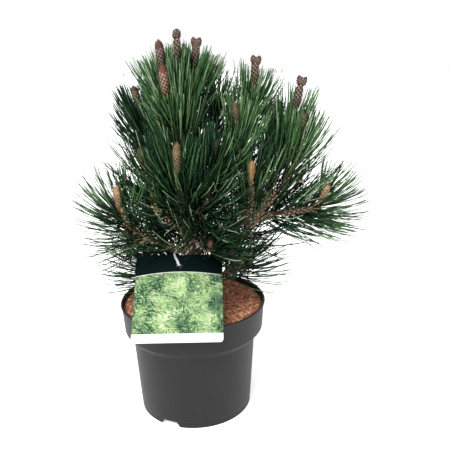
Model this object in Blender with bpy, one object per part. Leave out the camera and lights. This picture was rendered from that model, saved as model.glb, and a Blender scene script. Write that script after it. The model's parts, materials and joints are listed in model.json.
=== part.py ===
"""A young bosnian pine in its round nursery pot, with a plant label tied to its trunk.

Metres, +Z up. The origin is the middle of the pot's flat underside, and the front is -Y.
Each bough and the shoot that it carries follow from one row of sizes: where it leaves its parent,
which way and how far it reaches, and the candle at its head. Needles are set by a seeded rule.
"""

import math
import random
from collections import namedtuple

import bmesh
import bpy
import numpy as np
from mathutils import Matrix, Vector

UP = Vector((0.0, 0.0, 1.0))

# Gap between neighbouring solids, and the number of sides of what is turned
CLEAR = 0.0003
ROUND_SEGMENTS = 32
SHARP_PLASTIC_DEG = 30.0
SHARP_LIMB_DEG = 60.0

# Sizes of the pot
POT_HEIGHT = 0.175
POT_WALL = 0.0016
FLOOR_THICKNESS = 0.002
FOOT_RADIUS = 0.0866
FOOT_RING = 0.0036
FOOT_CHAMFER = 0.0008
CHANNEL_HEIGHT = 0.0098
CHANNEL_INNER_RADIUS = 0.0705
WALL_TOP = 0.119
WALL_TOP_RADIUS = 0.0944
WALL_SLOPE = (WALL_TOP_RADIUS - FOOT_RADIUS) / WALL_TOP
LIP_BOTTOM = 0.132
LIP_BOTTOM_RADIUS = 0.1066
LIP_TOP_RADIUS = 0.1094
LIP_ROUNDING = 0.002
BEAD_HEIGHT = 0.0034
BEAD_RADIUS = 0.1110
BEAD_ROUNDING = 0.0008
NOTCHES = 3
NOTCH_FIRST_DEG = -25.0
NOTCH_FOOT_WIDTH = 0.032
NOTCH_HEAD_WIDTH = 0.022
NOTCH_HEIGHT = 0.0086
NOTCH_DEPTH = 0.008

# Sizes of the potting bark
BARK_EDGE_HEIGHT = 0.1675
BARK_CROWN_HEIGHT = 0.1715
BARK_RINGS = 5
BARK_ROUGHNESS = 0.0011
BARK_SEED = 11
BARK_SEAT_RADIUS = 0.019

# Sizes of the label, a plastic card that leans on the pot's rim and is tied to the trunk
LABEL_WIDTH = 0.1265
LABEL_LENGTH = 0.139
LABEL_THICKNESS = 0.0014
LABEL_CORNER = 0.005
LABEL_CORNER_STEPS = 3
LABEL_CENTRE_X = -0.0167
LABEL_SLOPE_DEG = 39.2
LABEL_OVERHANG = 0.0185
HOLE_RADIUS = 0.0042
HOLE_FROM_TOP = 0.020
HOLE_SIDES = 12
STRAP_RADIUS = 0.0009
STRAP_BEND = 0.004
STRAP_OVER_EDGE = (-0.007, 0.002)
STRAP_UNDER_EDGE = (0.008, 0.001)
STRAP_HEIGHT = 0.262
STRAP_SIDES = 5
STRAP_STEPS = 2
STRAP_AZIMUTHS = (195, 140, 85, 30, -20, -60)

# Sizes of the trunk: where its middle runs, and its radius from the ground up
TRUNK_LINE = (
    (0.005, -0.003, 0.1712),
    (0.003, 0.000, 0.205),
    (0.000, 0.001, 0.245),
    (-0.003, 0.002, 0.300),
    (-0.008, 0.001, 0.360),
)
TRUNK_FOOT_RADIUS = 0.0105
TRUNK_TIP_RADIUS = 0.0062
ROOT_FLARE = 0.0058
ROOT_FLARE_HEIGHT = 0.008
TRUNK_SIDES = 9
TRUNK_STEPS = 3

# Rules of the boughs: their rise where they leave, their bend, and their taper
RISE_LOW_DEG = 6.0
RISE_HIGH_DEG = 52.0
LEAVE_REACH = 0.36
ARRIVE_REACH = 0.26
BOUGH_SIDES = 6
BOUGH_STEPS = 3
BOUGH_RADIUS_LEAST = 0.0040
BOUGH_RADIUS_PER_LENGTH = 0.016
BARE_SHARE_AT_LEAST = 0.28
SHOOT_RADIUS = 0.0034

# Rules of the shoots: low ones on the crown spread wide, and high ones stand close
LOW, HIGH = 0.33, 0.40
NEEDLED_LENGTH = 0.090
NEEDLE_FREE_HEAD = (0.045, 0.082)
FULL_CANDLE = 0.040
SPREAD_DEG = (60.0, 31.0)
TIP_SPREAD_SHARE = (0.36, 0.75)
SHOOT_SIDES = 5
SHOOT_STEPS = 4
SPLIT_STEPS = 40
NEEDLES_FROM = 0.03
TWIG_LENGTH = 0.036
TWIG_LEAN_DEG = (36.0, 18.0)
TWIG_FROM = 0.3
TWIG_RADIUS = 0.0025
TWIG_NEEDLES_FROM = 0.4
TWIG_BUD_LENGTH = 0.012
TWIG_BUD_RADIUS = 0.0032

# Rules of the candles, from foot to head
CANDLE_RADIUS_LEAST = 0.0040
CANDLE_RADIUS_MOST = 0.0063
CANDLE_RADIUS_PER_LENGTH = 0.05
CANDLE_SIDES = 6
CANDLE_OUTLINE = ((0.0, 0.66), (0.35, 0.95), (0.75, 1.0), (0.92, 0.62), (1.0, 0.0))
BUD_LENGTH = 0.012
BUD_LEAN_DEG = 26.0
BUD_RADIUS_SHARE = 0.66
BUD_SIDES = 5

# Rules of the needles
NEEDLE_LENGTH = 0.087
NEEDLE_RADIUS = 0.0015
NEEDLE_SPACING = 0.0025
NEEDLE_SIDES = 3
LENGTH_VARIATION = 0.10
SPREAD_VARIATION_DEG = 7.0
SHORTER_TRIES = (1.0, 0.8, 0.6)
TURN_TRIES = 3
NEEDLE_PROBES = 10
CROWDED_SHARE = 0.2
RIM_HEADROOM = 0.004
SEED = 5
GOLDEN_TURN = math.pi * (3.0 - math.sqrt(5.0))

# One row for each bough and its shoot. leaves: how far up its parent it starts, as a share.
# azimuth: its compass direction from +X towards +Y, in degrees. reach and height: of the candle's
# foot, from the pot's axis and underside. candle: its length. lean: how far it tips outwards, in
# degrees. buds: at its head. twigs: short side twigs of the shoot.
Row = namedtuple("Row", "name parent leaves azimuth reach height candle lean buds twigs")
ROWS = (
    Row("lower_left", "trunk", 0.12, 163, 0.076, 0.212, 0.012, 78, 1, 1),
    Row("lower_right", "trunk", 0.15, -18, 0.086, 0.238, 0.010, 52, 1, 1),
    Row("back_low_left", "trunk", 0.16, 126, 0.135, 0.305, 0.020, 20, 1, 1),
    Row("back_low_right", "trunk", 0.20, 50, 0.143, 0.302, 0.020, 20, 1, 1),
    Row("right", "trunk", 0.24, -3, 0.149, 0.445, 0.064, 13, 2, 1),
    Row("front_right", "bough_right", 0.52, -30, 0.103, 0.371, 0.026, -2, 1, 0),
    Row("low_right", "bough_right", 0.72, -7, 0.194, 0.334, 0.026, 28, 1, 0),
    Row("right_outer", "bough_right", 0.82, -12, 0.164, 0.436, 0.022, 0, 1, 0),
    Row("back_right", "trunk", 0.38, 22, 0.143, 0.437, 0.030, 6, 1, 1),
    Row("low_left", "trunk", 0.40, 197, 0.103, 0.326, 0.034, 2, 1, 1),
    Row("back_left", "trunk", 0.41, 118, 0.102, 0.405, 0.022, 8, 1, 1),
    Row("front_low", "trunk", 0.55, -63, 0.063, 0.275, 0.013, 14, 1, 0),
    Row("front_low_left", "trunk", 0.56, 216, 0.060, 0.338, 0.014, 6, 1, 0),
    Row("mid_front", "trunk", 0.63, -33, 0.084, 0.437, 0.038, -6, 1, 0),
    Row("left", "trunk", 0.63, 190, 0.065, 0.388, 0.022, 4, 1, 0),
    Row("back", "trunk", 0.66, 86, 0.090, 0.430, 0.022, 6, 1, 1),
    Row("front_low_right", "trunk", 0.70, -62, 0.060, 0.350, 0.014, 4, 1, 0),
    Row("left_front", "trunk", 0.73, 257, 0.054, 0.375, 0.048, -6, 1, 0),
    Row("mid_right", "trunk", 0.74, 12, 0.098, 0.483, 0.052, 5, 2, 1),
    Row("centre_front", "trunk", 0.82, -57, 0.074, 0.405, 0.022, 4, 1, 0),
    Row("upper_left", "trunk", 0.84, 150, 0.081, 0.456, 0.037, 15, 1, 1),
    Row("back_upper_right", "trunk", 0.88, 53, 0.074, 0.464, 0.014, 5, 1, 0),
)

# The leader stands on the trunk's tip, and its side candles round it. Their reach is from its axis.
LEADER_FOOT = (-0.009, 0.000, 0.528)
LEADER_CANDLE = 0.043
LEADER_NEEDLE_FREE = 0.086
LEADER_SPREAD_DEG = 40.0
LEADER_TIP_SPREAD_SHARE = 0.65
LEADER_RADIUS = 0.0044
SIDES_LEAVE = 0.42
SIDE_STEPS = 3
SIDE_NEEDLES_FROM = 0.15
Side = namedtuple("Side", "azimuth reach height candle lean buds")
LEADER_SIDES = (
    Side(200, 0.0215, 0.512, 0.044, 6, 1),
    Side(32, 0.027, 0.516, 0.045, 5, 2),
    Side(244, 0.035, 0.4845, 0.041, 10, 1),
)

# Colour, roughness and metallic value of each material
LIMB_LOOKS = ((0.16, 0.10, 0.06), 0.85, 0.0)
FOLIAGE_LOOKS = ((0.045, 0.13, 0.055), 0.55, 0.0)
POT_LOOKS = ((0.075, 0.077, 0.078), 0.5, 0.0)
POTTING_LOOKS = ((0.24, 0.10, 0.055), 0.95, 0.0)
LABEL_LOOKS = ((0.30, 0.42, 0.24), 0.35, 0.0)
STRAP_LOOKS = ((0.80, 0.86, 0.83), 0.15, 0.0)

Line = namedtuple("Line", "points ways")
Limb = namedtuple("Limb", "line radii")
Twig = namedtuple("Twig", "line radius first last spread tip")
Candle = namedtuple("Candle", "foot top radius buds")
Shoot = namedtuple("Shoot", "name twigs candles")


def clear_scene():
    """Removes the objects that the scene starts with."""
    for obj in list(bpy.data.objects):
        bpy.data.objects.remove(obj)


def material(name, looks):
    """A plain surface of one colour, roughness and metallic value."""
    colour, roughness, metallic = looks
    made = bpy.data.materials.new(name)
    made.use_nodes = True
    surface = made.node_tree.nodes["Principled BSDF"]
    surface.inputs["Base Color"].default_value = (*colour, 1.0)
    surface.inputs["Roughness"].default_value = roughness
    surface.inputs["Metallic"].default_value = metallic
    made.diffuse_color = (*colour, 1.0)
    return made


def object_from(name, shape, look=None, collection=None):
    """A named object made from a bmesh, which it frees, with its faces pointing out."""
    bmesh.ops.recalc_face_normals(shape, faces=shape.faces)
    mesh = bpy.data.meshes.new(name)
    shape.to_mesh(mesh)
    shape.free()
    obj = bpy.data.objects.new(name, mesh)
    (collection or bpy.context.scene.collection).objects.link(obj)
    if look:
        mesh.materials.append(look)
    return obj


def apply_boolean(obj, modifier, used):
    """Bakes a Boolean modifier into its object's mesh and removes the objects that it used."""
    bpy.context.view_layer.update()
    graph = bpy.context.evaluated_depsgraph_get()
    obj.data = bpy.data.meshes.new_from_object(obj.evaluated_get(graph))
    obj.modifiers.remove(modifier)
    for other in list(used):
        bpy.data.objects.remove(other)


def cut(obj, cutter):
    """Cuts one solid from another."""
    modifier = obj.modifiers.new("cut", "BOOLEAN")
    modifier.operation = "DIFFERENCE"
    modifier.object = cutter
    apply_boolean(obj, modifier, [cutter])


def join(obj, collection):
    """Joins all the solids of a collection to an object, as one union."""
    modifier = obj.modifiers.new("join", "BOOLEAN")
    modifier.operation = "UNION"
    modifier.solver = "MANIFOLD"
    modifier.operand_type = "COLLECTION"
    modifier.collection = collection
    apply_boolean(obj, modifier, collection.objects)
    bpy.data.collections.remove(collection)


def keep_one_body(obj):
    """Keeps an object's largest surface, and so drops loose scraps and fills sealed hollows."""
    shape = bmesh.new()
    shape.from_mesh(obj.data)
    left = set(shape.faces)
    surfaces = []
    while left:
        first = left.pop()
        surface, reached = {first}, [first]
        while reached:
            face = reached.pop()
            beside = {f for edge in face.edges for f in edge.link_faces} - surface
            surface |= beside
            reached.extend(beside)
        left -= surface
        surfaces.append(surface)
    largest = max(surfaces, key=len)
    loose = [f for surface in surfaces if surface is not largest for f in surface]
    bmesh.ops.delete(shape, geom=loose, context="FACES")
    shape.to_mesh(obj.data)
    shape.free()


def shade_round(obj, sharp_deg):
    """Smooth shading, with creases where faces meet at a steep angle."""
    obj.data.shade_smooth()
    obj.data.set_sharp_from_angle(angle=math.radians(sharp_deg))


def turned(profile):
    """A bmesh turned about Z from (radius, height) points that start and end on the axis."""
    shape = bmesh.new()
    corners = [shape.verts.new((radius, 0.0, height)) for radius, height in profile]
    edges = [shape.edges.new(ends) for ends in zip(corners, corners[1:])]
    bmesh.ops.spin(
        shape,
        geom=corners + edges,
        cent=(0.0, 0.0, 0.0),
        axis=UP,
        angle=math.tau,
        steps=ROUND_SEGMENTS,
        use_merge=True,
    )
    bmesh.ops.remove_doubles(shape, verts=shape.verts, dist=1e-6)
    return shape


def extruded(outline, depth):
    """A bmesh prism: an outline of (x, y) points, thickened down its own -Z."""
    shape = bmesh.new()
    face = shape.faces.new([shape.verts.new((x, y, 0.0)) for x, y in outline])
    made = bmesh.ops.extrude_face_region(shape, geom=[face])
    moved = [v for v in made["geom"] if isinstance(v, bmesh.types.BMVert)]
    bmesh.ops.translate(shape, vec=-depth * UP, verts=moved)
    return shape


def straight(start, end):
    """A line with one straight stretch."""
    way = (end - start).normalized()
    return Line([start, end], [way, way])


def bezier(corners, first, last, steps):
    """A stretch of a cubic curve, between two of its values from 0 to 1."""
    a, b, c, d = corners
    line = Line([], [])
    for k in range(steps + 1):
        t = first + (last - first) * k / steps
        s = 1.0 - t
        line.points.append(s ** 3 * a + 3 * s * s * t * b + 3 * s * t * t * c + t ** 3 * d)
        line.ways.append((s * s * (b - a) + 2 * s * t * (c - b) + t * t * (d - c)).normalized())
    return line


def smooth_line(corners, steps, closed=False):
    """A Catmull-Rom curve through corners, with a number of steps from each one to the next."""
    corners = [Vector(corner) for corner in corners]
    if closed:
        ends = [corners[-1], *corners, corners[0], corners[1]]
    else:
        ends = [2 * corners[0] - corners[1], *corners, 2 * corners[-1] - corners[-2]]
    line = Line([], [])
    for a, b, c, d in zip(ends, ends[1:], ends[2:], ends[3:]):
        stretch = bezier((b, b + (c - a) / 6, c - (d - b) / 6, c), 0.0, 1.0, steps)
        line.points.extend(stretch.points[:-1])
        line.ways.extend(stretch.ways[:-1])
    if not closed:
        line.points.append(stretch.points[-1])
        line.ways.append(stretch.ways[-1])
    return line


def sides_along(line):
    """Two directions square to a line at each of its points, carried along it without a twist."""
    side = line.ways[0].orthogonal().normalized()
    found = []
    for way in line.ways:
        side = (side - side.dot(way) * way).normalized()
        found.append((side, way.cross(side)))
    return found


def ring_round(shape, point, radius, across, sides):
    """Vertices round a point, in the plane of two directions, or one vertex for no radius."""
    if radius == 0.0:
        return [shape.verts.new(point)] * sides
    first, second = across
    return [
        shape.verts.new(point + radius * (math.cos(turn) * first + math.sin(turn) * second))
        for turn in (math.tau * k / sides for k in range(sides))
    ]


def swept(line, radii, sides, closed=False):
    """A bmesh tube along a line, with a radius at each point. A last radius of 0 points it."""
    shape = bmesh.new()
    rings = [
        ring_round(shape, point, radius, across, sides)
        for point, radius, across in zip(line.points, radii, sides_along(line))
    ]
    for low, high in zip(rings, rings[1:] + rings[:closed]):
        for k in range(sides):
            after = (k + 1) % sides
            shape.faces.new(dict.fromkeys((low[k], low[after], high[after], high[k])))
    for end in () if closed else (rings[0], rings[-1]):
        if end[0] is not end[1]:
            shape.faces.new(end)
    return shape


def length_of(line):
    """A line's length."""
    return sum((b - a).length for a, b in zip(line.points, line.points[1:]))


def stretch_at(line, share):
    """(number, share) of the stretch that lies a share of the way along a line, by its length."""
    left = share * length_of(line)
    for number, (a, b) in enumerate(zip(line.points, line.points[1:])):
        length = (b - a).length
        if left <= length:
            return number, left / length
        left -= length
    return number, 1.0


def point_at(line, share):
    """The point a share of the way along a line."""
    number, part = stretch_at(line, share)
    return line.points[number].lerp(line.points[number + 1], part)


def compass(azimuth_deg):
    """The level direction of an azimuth."""
    turn = math.radians(azimuth_deg)
    return Vector((math.cos(turn), math.sin(turn), 0.0))


def leaning(outward, lean_deg):
    """The upright direction, tipped outwards."""
    lean = math.radians(lean_deg)
    return math.cos(lean) * UP + math.sin(lean) * outward


def by_height(ends, height):
    """A value that runs from the first of two at the crown's foot to the second near its top."""
    share = min(1.0, max(0.0, (height - LOW) / (HIGH - LOW)))
    return ends[0] + (ends[1] - ends[0]) * share


def trunk_limb():
    """The trunk's middle line and radii, with its root flare."""
    line = smooth_line(TRUNK_LINE, TRUNK_STEPS)
    line.points.insert(1, line.points[0] + ROOT_FLARE_HEIGHT * line.ways[0])
    line.ways.insert(0, UP)
    ground, tip = line.points[0].z, line.points[-1].z
    radii = []
    for point in line.points:
        up = point.z - ground
        taper = TRUNK_FOOT_RADIUS + (TRUNK_TIP_RADIUS - TRUNK_FOOT_RADIUS) * up / (tip - ground)
        radii.append(taper + ROOT_FLARE * math.exp(-up / ROOT_FLARE_HEIGHT))
    return Limb(line, radii)


def growth(row, parent):
    """The curve that a bough and its shoot follow, from inside the parent to the candle's foot."""
    start = point_at(parent.line, row.leaves)
    foot = row.reach * compass(row.azimuth) + row.height * UP
    level = Vector((foot.x - start.x, foot.y - start.y, 0.0)).normalized()
    rise = math.radians(RISE_LOW_DEG + (RISE_HIGH_DEG - RISE_LOW_DEG) * row.leaves)
    leave = math.cos(rise) * level + math.sin(rise) * UP
    arrive = leaning(compass(row.azimuth), row.lean)
    chord = (foot - start).length
    return start, start + LEAVE_REACH * chord * leave, foot - ARRIVE_REACH * chord * arrive, foot


def needle_free(row):
    """How far below the candle's foot the needles end: less where the candle is only a bud."""
    head = by_height(NEEDLE_FREE_HEAD, row.height) * min(1.0, row.candle / FULL_CANDLE)
    return max(0.0, head - row.candle)


def split_of(row, corners):
    """The value on a growth's curve where its bough ends and its shoot starts."""
    whole = bezier(corners, 0.0, 1.0, SPLIT_STEPS)
    needled = NEEDLED_LENGTH + needle_free(row)
    bare = max(BARE_SHARE_AT_LEAST, 1.0 - needled / length_of(whole))
    number, part = stretch_at(whole, bare)
    return (number + part) / SPLIT_STEPS


def bough_limb(row, parent):
    """The middle line and radii of one bough. It starts on its parent's middle line."""
    corners = growth(row, parent)
    line = bezier(corners, 0.0, split_of(row, corners), BOUGH_STEPS)
    root = BOUGH_RADIUS_LEAST + BOUGH_RADIUS_PER_LENGTH * length_of(line)
    radii = [root + (SHOOT_RADIUS - root) * k / BOUGH_STEPS for k in range(BOUGH_STEPS + 1)]
    return Limb(line, radii)


def all_limbs():
    """The trunk and every bough, by their names."""
    limbs = {"trunk": trunk_limb()}
    for row in ROWS:
        limbs["bough_" + row.name] = bough_limb(row, limbs[row.parent])
    return limbs


def candle_on(foot, way, length, buds):
    """A candle of a given length, which sets how stout it is."""
    radius = min(CANDLE_RADIUS_MOST, CANDLE_RADIUS_LEAST + CANDLE_RADIUS_PER_LENGTH * length)
    return Candle(foot, foot + length * way, radius, buds)


def shoot_of(row, parent):
    """The stem, side twigs and candles of one bough's shoot."""
    corners = growth(row, parent)
    stem = bezier(corners, split_of(row, corners), 1.0, SHOOT_STEPS)
    stem.points[0] += CLEAR * stem.ways[0]
    spread = by_height(SPREAD_DEG, row.height)
    last = 1.0 - needle_free(row) / length_of(stem)
    tip = by_height(TIP_SPREAD_SHARE, row.height)
    twigs = [Twig(stem, SHOOT_RADIUS, NEEDLES_FROM, last, spread, tip)]
    candles = [candle_on(stem.points[-1], stem.ways[-1], row.candle, row.buds)]
    rng = random.Random(f"{SEED} {row.name} twigs")
    turn = rng.uniform(0.0, math.tau)
    for k in range(row.twigs):
        turn += GOLDEN_TURN
        start = point_at(stem, TWIG_FROM * (k + 1) * last)
        first, second = sides_along(stem)[1]
        outward = math.cos(turn) * first + math.sin(turn) * second
        lean = math.radians(by_height(TWIG_LEAN_DEG, row.height))
        way = math.cos(lean) * stem.ways[1] + math.sin(lean) * outward
        end = start + TWIG_LENGTH * way
        twigs.append(Twig(straight(start, end), TWIG_RADIUS, TWIG_NEEDLES_FROM, 1.0, spread, tip))
        candles.append(Candle(end, end + TWIG_BUD_LENGTH * way, TWIG_BUD_RADIUS, 1))
    return Shoot("needles_" + row.name, twigs, candles)


def leader_shoot(trunk):
    """The shoot on the trunk's tip, with its ring of side candles."""
    start = trunk.line.points[-1] + CLEAR * trunk.line.ways[-1]
    foot = Vector(LEADER_FOOT)
    third = (foot - start).length / 3
    corners = start, start + third * trunk.line.ways[-1], foot - third * UP, foot
    stem = bezier(corners, 0.0, 1.0, SHOOT_STEPS)
    last = 1.0 - (LEADER_NEEDLE_FREE - LEADER_CANDLE) / length_of(stem)
    spread, tip = LEADER_SPREAD_DEG, LEADER_TIP_SPREAD_SHARE
    twigs = [Twig(stem, LEADER_RADIUS, NEEDLES_FROM, last, spread, tip)]
    candles = [candle_on(foot, UP, LEADER_CANDLE, 3)]
    fork = point_at(stem, SIDES_LEAVE)
    for side in LEADER_SIDES:
        outward = compass(side.azimuth)
        side_foot = Vector((foot.x, foot.y, side.height)) + side.reach * outward
        way = leaning(outward, side.lean)
        third = (side_foot - fork).length / 3
        leave = (side_foot - fork).normalized()
        corners = fork, fork + third * leave, side_foot - third * way, side_foot
        line = bezier(corners, 0.0, 1.0, SIDE_STEPS)
        last = 1.0 - (LEADER_NEEDLE_FREE - side.candle) / length_of(line)
        twigs.append(Twig(line, SHOOT_RADIUS, SIDE_NEEDLES_FROM, last, spread, tip))
        candles.append(candle_on(side_foot, way, side.candle, side.buds))
    return Shoot("needles_leader", twigs, candles)


def label_turn():
    """The label's turn about +X: its own +Y runs up the card, and its own +Z out of its face."""
    return Matrix.Rotation(math.radians(LABEL_SLOPE_DEG), 4, "X")


def label_place():
    """The label's placement: its own origin is the middle of its top edge, on its face."""
    turn = label_turn()
    rim = Vector((LABEL_CENTRE_X, -BEAD_RADIUS, POT_HEIGHT))
    to_top = Vector((0.0, LABEL_LENGTH - LABEL_OVERHANG, CLEAR + LABEL_THICKNESS))
    return Matrix.Translation(rim + turn @ to_top) @ turn


def label_gaps(points):
    """How far each point lies from the label's card."""
    inverse = label_place().inverted()
    local = np.array([inverse @ Vector(point) for point in points])
    middle = np.array((0.0, -LABEL_LENGTH / 2, -LABEL_THICKNESS / 2))
    half = np.array((LABEL_WIDTH, LABEL_LENGTH, LABEL_THICKNESS)) / 2
    return np.linalg.norm(np.maximum(abs(local - middle) - half, 0.0), axis=1)


def strap_line(trunk):
    """The strap's middle line: out of the label's hole, over its top edge, round the trunk and back."""
    place = label_place()
    pulled = HOLE_RADIUS - STRAP_RADIUS - 3 * CLEAR
    hole = -HOLE_FROM_TOP + pulled
    off = STRAP_RADIUS + 4 * CLEAR
    ground, tip = trunk.line.points[0].z, trunk.line.points[-1].z
    share = (STRAP_HEIGHT - ground) / (tip - ground)
    middle = point_at(trunk.line, share)
    number, _ = stretch_at(trunk.line, share)
    away = trunk.radii[number] + STRAP_RADIUS + 3 * CLEAR
    corners = [
        place @ Vector((0.0, hole, -LABEL_THICKNESS / 2)),
        place @ Vector((-STRAP_BEND / 2, hole + STRAP_BEND, off)),
        place @ Vector((*STRAP_OVER_EDGE, off)),
        *(middle + away * compass(azimuth) for azimuth in STRAP_AZIMUTHS),
        place @ Vector((*STRAP_UNDER_EDGE, -LABEL_THICKNESS - off)),
        place @ Vector((STRAP_BEND / 2, hole + STRAP_BEND, -LABEL_THICKNESS - off)),
    ]
    return smooth_line(corners, STRAP_STEPS, closed=True)


def needle_tries(twig, rng):
    """For each needle that one twig would bear, the places it may take, in a spiral up it."""
    frames = sides_along(twig.line)
    count = int(length_of(twig.line) * (twig.last - twig.first) / NEEDLE_SPACING)
    turn = rng.uniform(0.0, math.tau)
    for k in range(count):
        up = (k + 0.5) / count
        share = twig.first + (twig.last - twig.first) * up
        number, along = stretch_at(twig.line, share)
        first, second = frames[number]
        opening = twig.spread * (1.0 - (1.0 - twig.tip) * up)
        opening = math.radians(opening + rng.uniform(-1, 1) * SPREAD_VARIATION_DEG)
        length = NEEDLE_LENGTH * (1.0 + rng.uniform(-1, 1) * LENGTH_VARIATION)
        way = twig.line.ways[number].lerp(twig.line.ways[number + 1], along)
        root = point_at(twig.line, share)
        turn += GOLDEN_TURN
        tries = []
        for shorter in SHORTER_TRIES:
            for aside in (turn + math.tau * part / TURN_TRIES for part in range(TURN_TRIES)):
                outward = math.cos(aside) * first + math.sin(aside) * second
                aim = math.cos(opening) * way + math.sin(opening) * outward
                tries.append((root, root + shorter * length * aim))
        yield tries


def stretches(lines):
    """The straight stretches of several (points, radii) lines, as arrays of ends and radii."""
    starts = [a for points, _ in lines for a in points[:-1]]
    ends = [b for points, _ in lines for b in points[1:]]
    radii = [max(pair) for _, radii in lines for pair in zip(radii, radii[1:])]
    return np.array(starts), np.array(ends), np.array(radii)


def lines_of(shoot):
    """(points, radii) of each of a shoot's twigs and candles."""
    twigs = [(twig.line.points, [twig.radius] * len(twig.line.points)) for twig in shoot.twigs]
    candles = [((c.foot, c.top), (c.radius, c.radius)) for c in shoot.candles]
    return twigs + candles


def gaps_to(points, solids):
    """How far each point lies from the nearest surface of round solids along stretches."""
    starts, ends, radii = solids
    ways = ends - starts
    away = points[:, None] - starts
    share = np.clip((away * ways).sum(axis=2) / (ways * ways).sum(axis=1), 0.0, 1.0)
    return (np.linalg.norm(away - share[..., None] * ways, axis=2) - radii).min(axis=1)


def apart(root, tip, placed):
    """Whether a needle stays off those placed before it, past the crowd where they leave the twig."""
    if not placed:
        return True
    shares = np.linspace(CROWDED_SHARE, 1.0, NEEDLE_PROBES)[:, None]
    points = np.array(root) + shares * np.array(tip - root)
    freed = [((a.lerp(b, CROWDED_SHARE), b), (NEEDLE_RADIUS, NEEDLE_RADIUS)) for a, b in placed]
    return bool((gaps_to(points, stretches(freed)) > NEEDLE_RADIUS).all())


def fits(root, tip, own, others, limbs):
    """Whether a needle keeps to its own mass's space, clear of limbs, label, strap and pot."""
    shares = np.arange(1, NEEDLE_PROBES + 1)[:, None] / NEEDLE_PROBES
    points = np.array(root) + shares * np.array(tip - root)
    over_pot = np.hypot(points[:, 0], points[:, 1]) < BEAD_RADIUS + RIM_HEADROOM
    floor = np.where(over_pot, POT_HEIGHT + RIM_HEADROOM, RIM_HEADROOM)
    gap = NEEDLE_RADIUS + 2 * CLEAR
    return bool(
        (points[:, 2] > floor).all()
        and (gaps_to(points, limbs) > gap).all()
        and (gaps_to(points, others) > np.maximum(gaps_to(points, own), 0.0) + 2 * gap).all()
        and (label_gaps(points) > gap).all()
    )


def needles_of(shoot, others, limbs):
    """The (root, tip) of each needle of a shoot: the first free place of those it may take."""
    own = stretches(lines_of(shoot))
    rng = random.Random(f"{SEED} {shoot.name}")
    placed = []
    for twig in shoot.twigs:
        for tries in needle_tries(twig, rng):
            free = (ends for ends in tries if apart(*ends, placed) and fits(*ends, own, others, limbs))
            found = next(free, None)
            if found:
                placed.append(found)
    return placed


def candle_solids(candle):
    """The bmeshes of one candle: its body, sunk into its twig, and the buds that share its head."""
    way = (candle.top - candle.foot).normalized()
    head = candle.top - (candle.buds > 1) * BUD_LENGTH / 2 * way
    parts = [spindle(candle.foot - candle.radius / 3 * way, head, candle.radius, CANDLE_SIDES)]
    neck = candle.top - BUD_LENGTH * math.cos(math.radians(BUD_LEAN_DEG)) * way
    first, second = sides_along(straight(candle.foot, candle.top))[0]
    for k in range(candle.buds if candle.buds > 1 else 0):
        turn = math.tau * k / candle.buds
        outward = math.cos(turn) * first + math.sin(turn) * second
        lean = math.radians(BUD_LEAN_DEG)
        bud = math.cos(lean) * way + math.sin(lean) * outward
        parts.append(spindle(neck, neck + BUD_LENGTH * bud, candle.radius * BUD_RADIUS_SHARE, BUD_SIDES))
    return parts


def spindle(foot, top, radius, sides):
    """A bmesh candle or bud: a slim barrel with a pointed head."""
    way = (top - foot).normalized()
    points = [foot.lerp(top, share) for share, _ in CANDLE_OUTLINE]
    radii = [radius * share for _, share in CANDLE_OUTLINE]
    return swept(Line(points, [way] * len(points)), radii, sides)


def make_mass(shoot, others, limbs, look):
    """One mass of foliage as a single solid: its twigs, candles and needles, joined."""
    parts = bpy.data.collections.new(shoot.name + "_parts")
    bpy.context.scene.collection.children.link(parts)
    tubes = [
        swept(twig.line, [twig.radius] * len(twig.line.points), SHOOT_SIDES) for twig in shoot.twigs
    ]
    mass = object_from(shoot.name, tubes[0], look)
    pieces = tubes[1:] + [solid for candle in shoot.candles for solid in candle_solids(candle)]
    for ends in needles_of(shoot, others, limbs):
        pieces.append(swept(straight(*ends), (NEEDLE_RADIUS, 0.0), NEEDLE_SIDES))
    for piece in pieces:
        object_from("piece", piece, None, parts)
    join(mass, parts)
    keep_one_body(mass)


def make_foliage(limbs, strap):
    """Every mass of foliage, each in its own space."""
    look = material("foliage", FOLIAGE_LOOKS)
    shoots = [shoot_of(row, limbs[row.parent]) for row in ROWS]
    shoots.append(leader_shoot(limbs["trunk"]))
    solids = [(limb.line.points, limb.radii) for limb in limbs.values()]
    solids.append((strap.points, [STRAP_RADIUS] * len(strap.points)))
    solids = stretches(solids)
    for shoot in shoots:
        others = [line for other in shoots if other is not shoot for line in lines_of(other)]
        make_mass(shoot, stretches(others), solids, look)


def make_limbs(limbs):
    """The trunk and the boughs, each bough cut back to the limb that it grows from."""
    look = material("limb_bark", LIMB_LOOKS)
    trunk = limbs["trunk"]
    shade_round(object_from("trunk", swept(*trunk, TRUNK_SIDES), look), SHARP_LIMB_DEG)
    for row in ROWS:
        name = "bough_" + row.name
        bough = object_from(name, swept(*limbs[name], BOUGH_SIDES), look)
        parent = limbs[row.parent]
        sides = TRUNK_SIDES if row.parent == "trunk" else BOUGH_SIDES
        fatter = [radius + CLEAR for radius in parent.radii]
        cut(bough, object_from("parent_outline", swept(parent.line, fatter, sides)))
        keep_one_body(bough)
        shade_round(bough, SHARP_LIMB_DEG)


def inner_profile():
    """(radius, height) points of the pot's inside, from the middle of its floor to its rim."""
    channel_top = CHANNEL_HEIGHT + POT_WALL
    return [
        (0.0, FLOOR_THICKNESS),
        (CHANNEL_INNER_RADIUS - POT_WALL, FLOOR_THICKNESS),
        (CHANNEL_INNER_RADIUS, channel_top),
        (FOOT_RADIUS + WALL_SLOPE * channel_top - POT_WALL, channel_top),
        (WALL_TOP_RADIUS - POT_WALL, WALL_TOP + POT_WALL / 2),
        (LIP_BOTTOM_RADIUS - POT_WALL, LIP_BOTTOM + POT_WALL),
        (LIP_TOP_RADIUS - POT_WALL, POT_HEIGHT - BEAD_ROUNDING),
    ]


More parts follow.
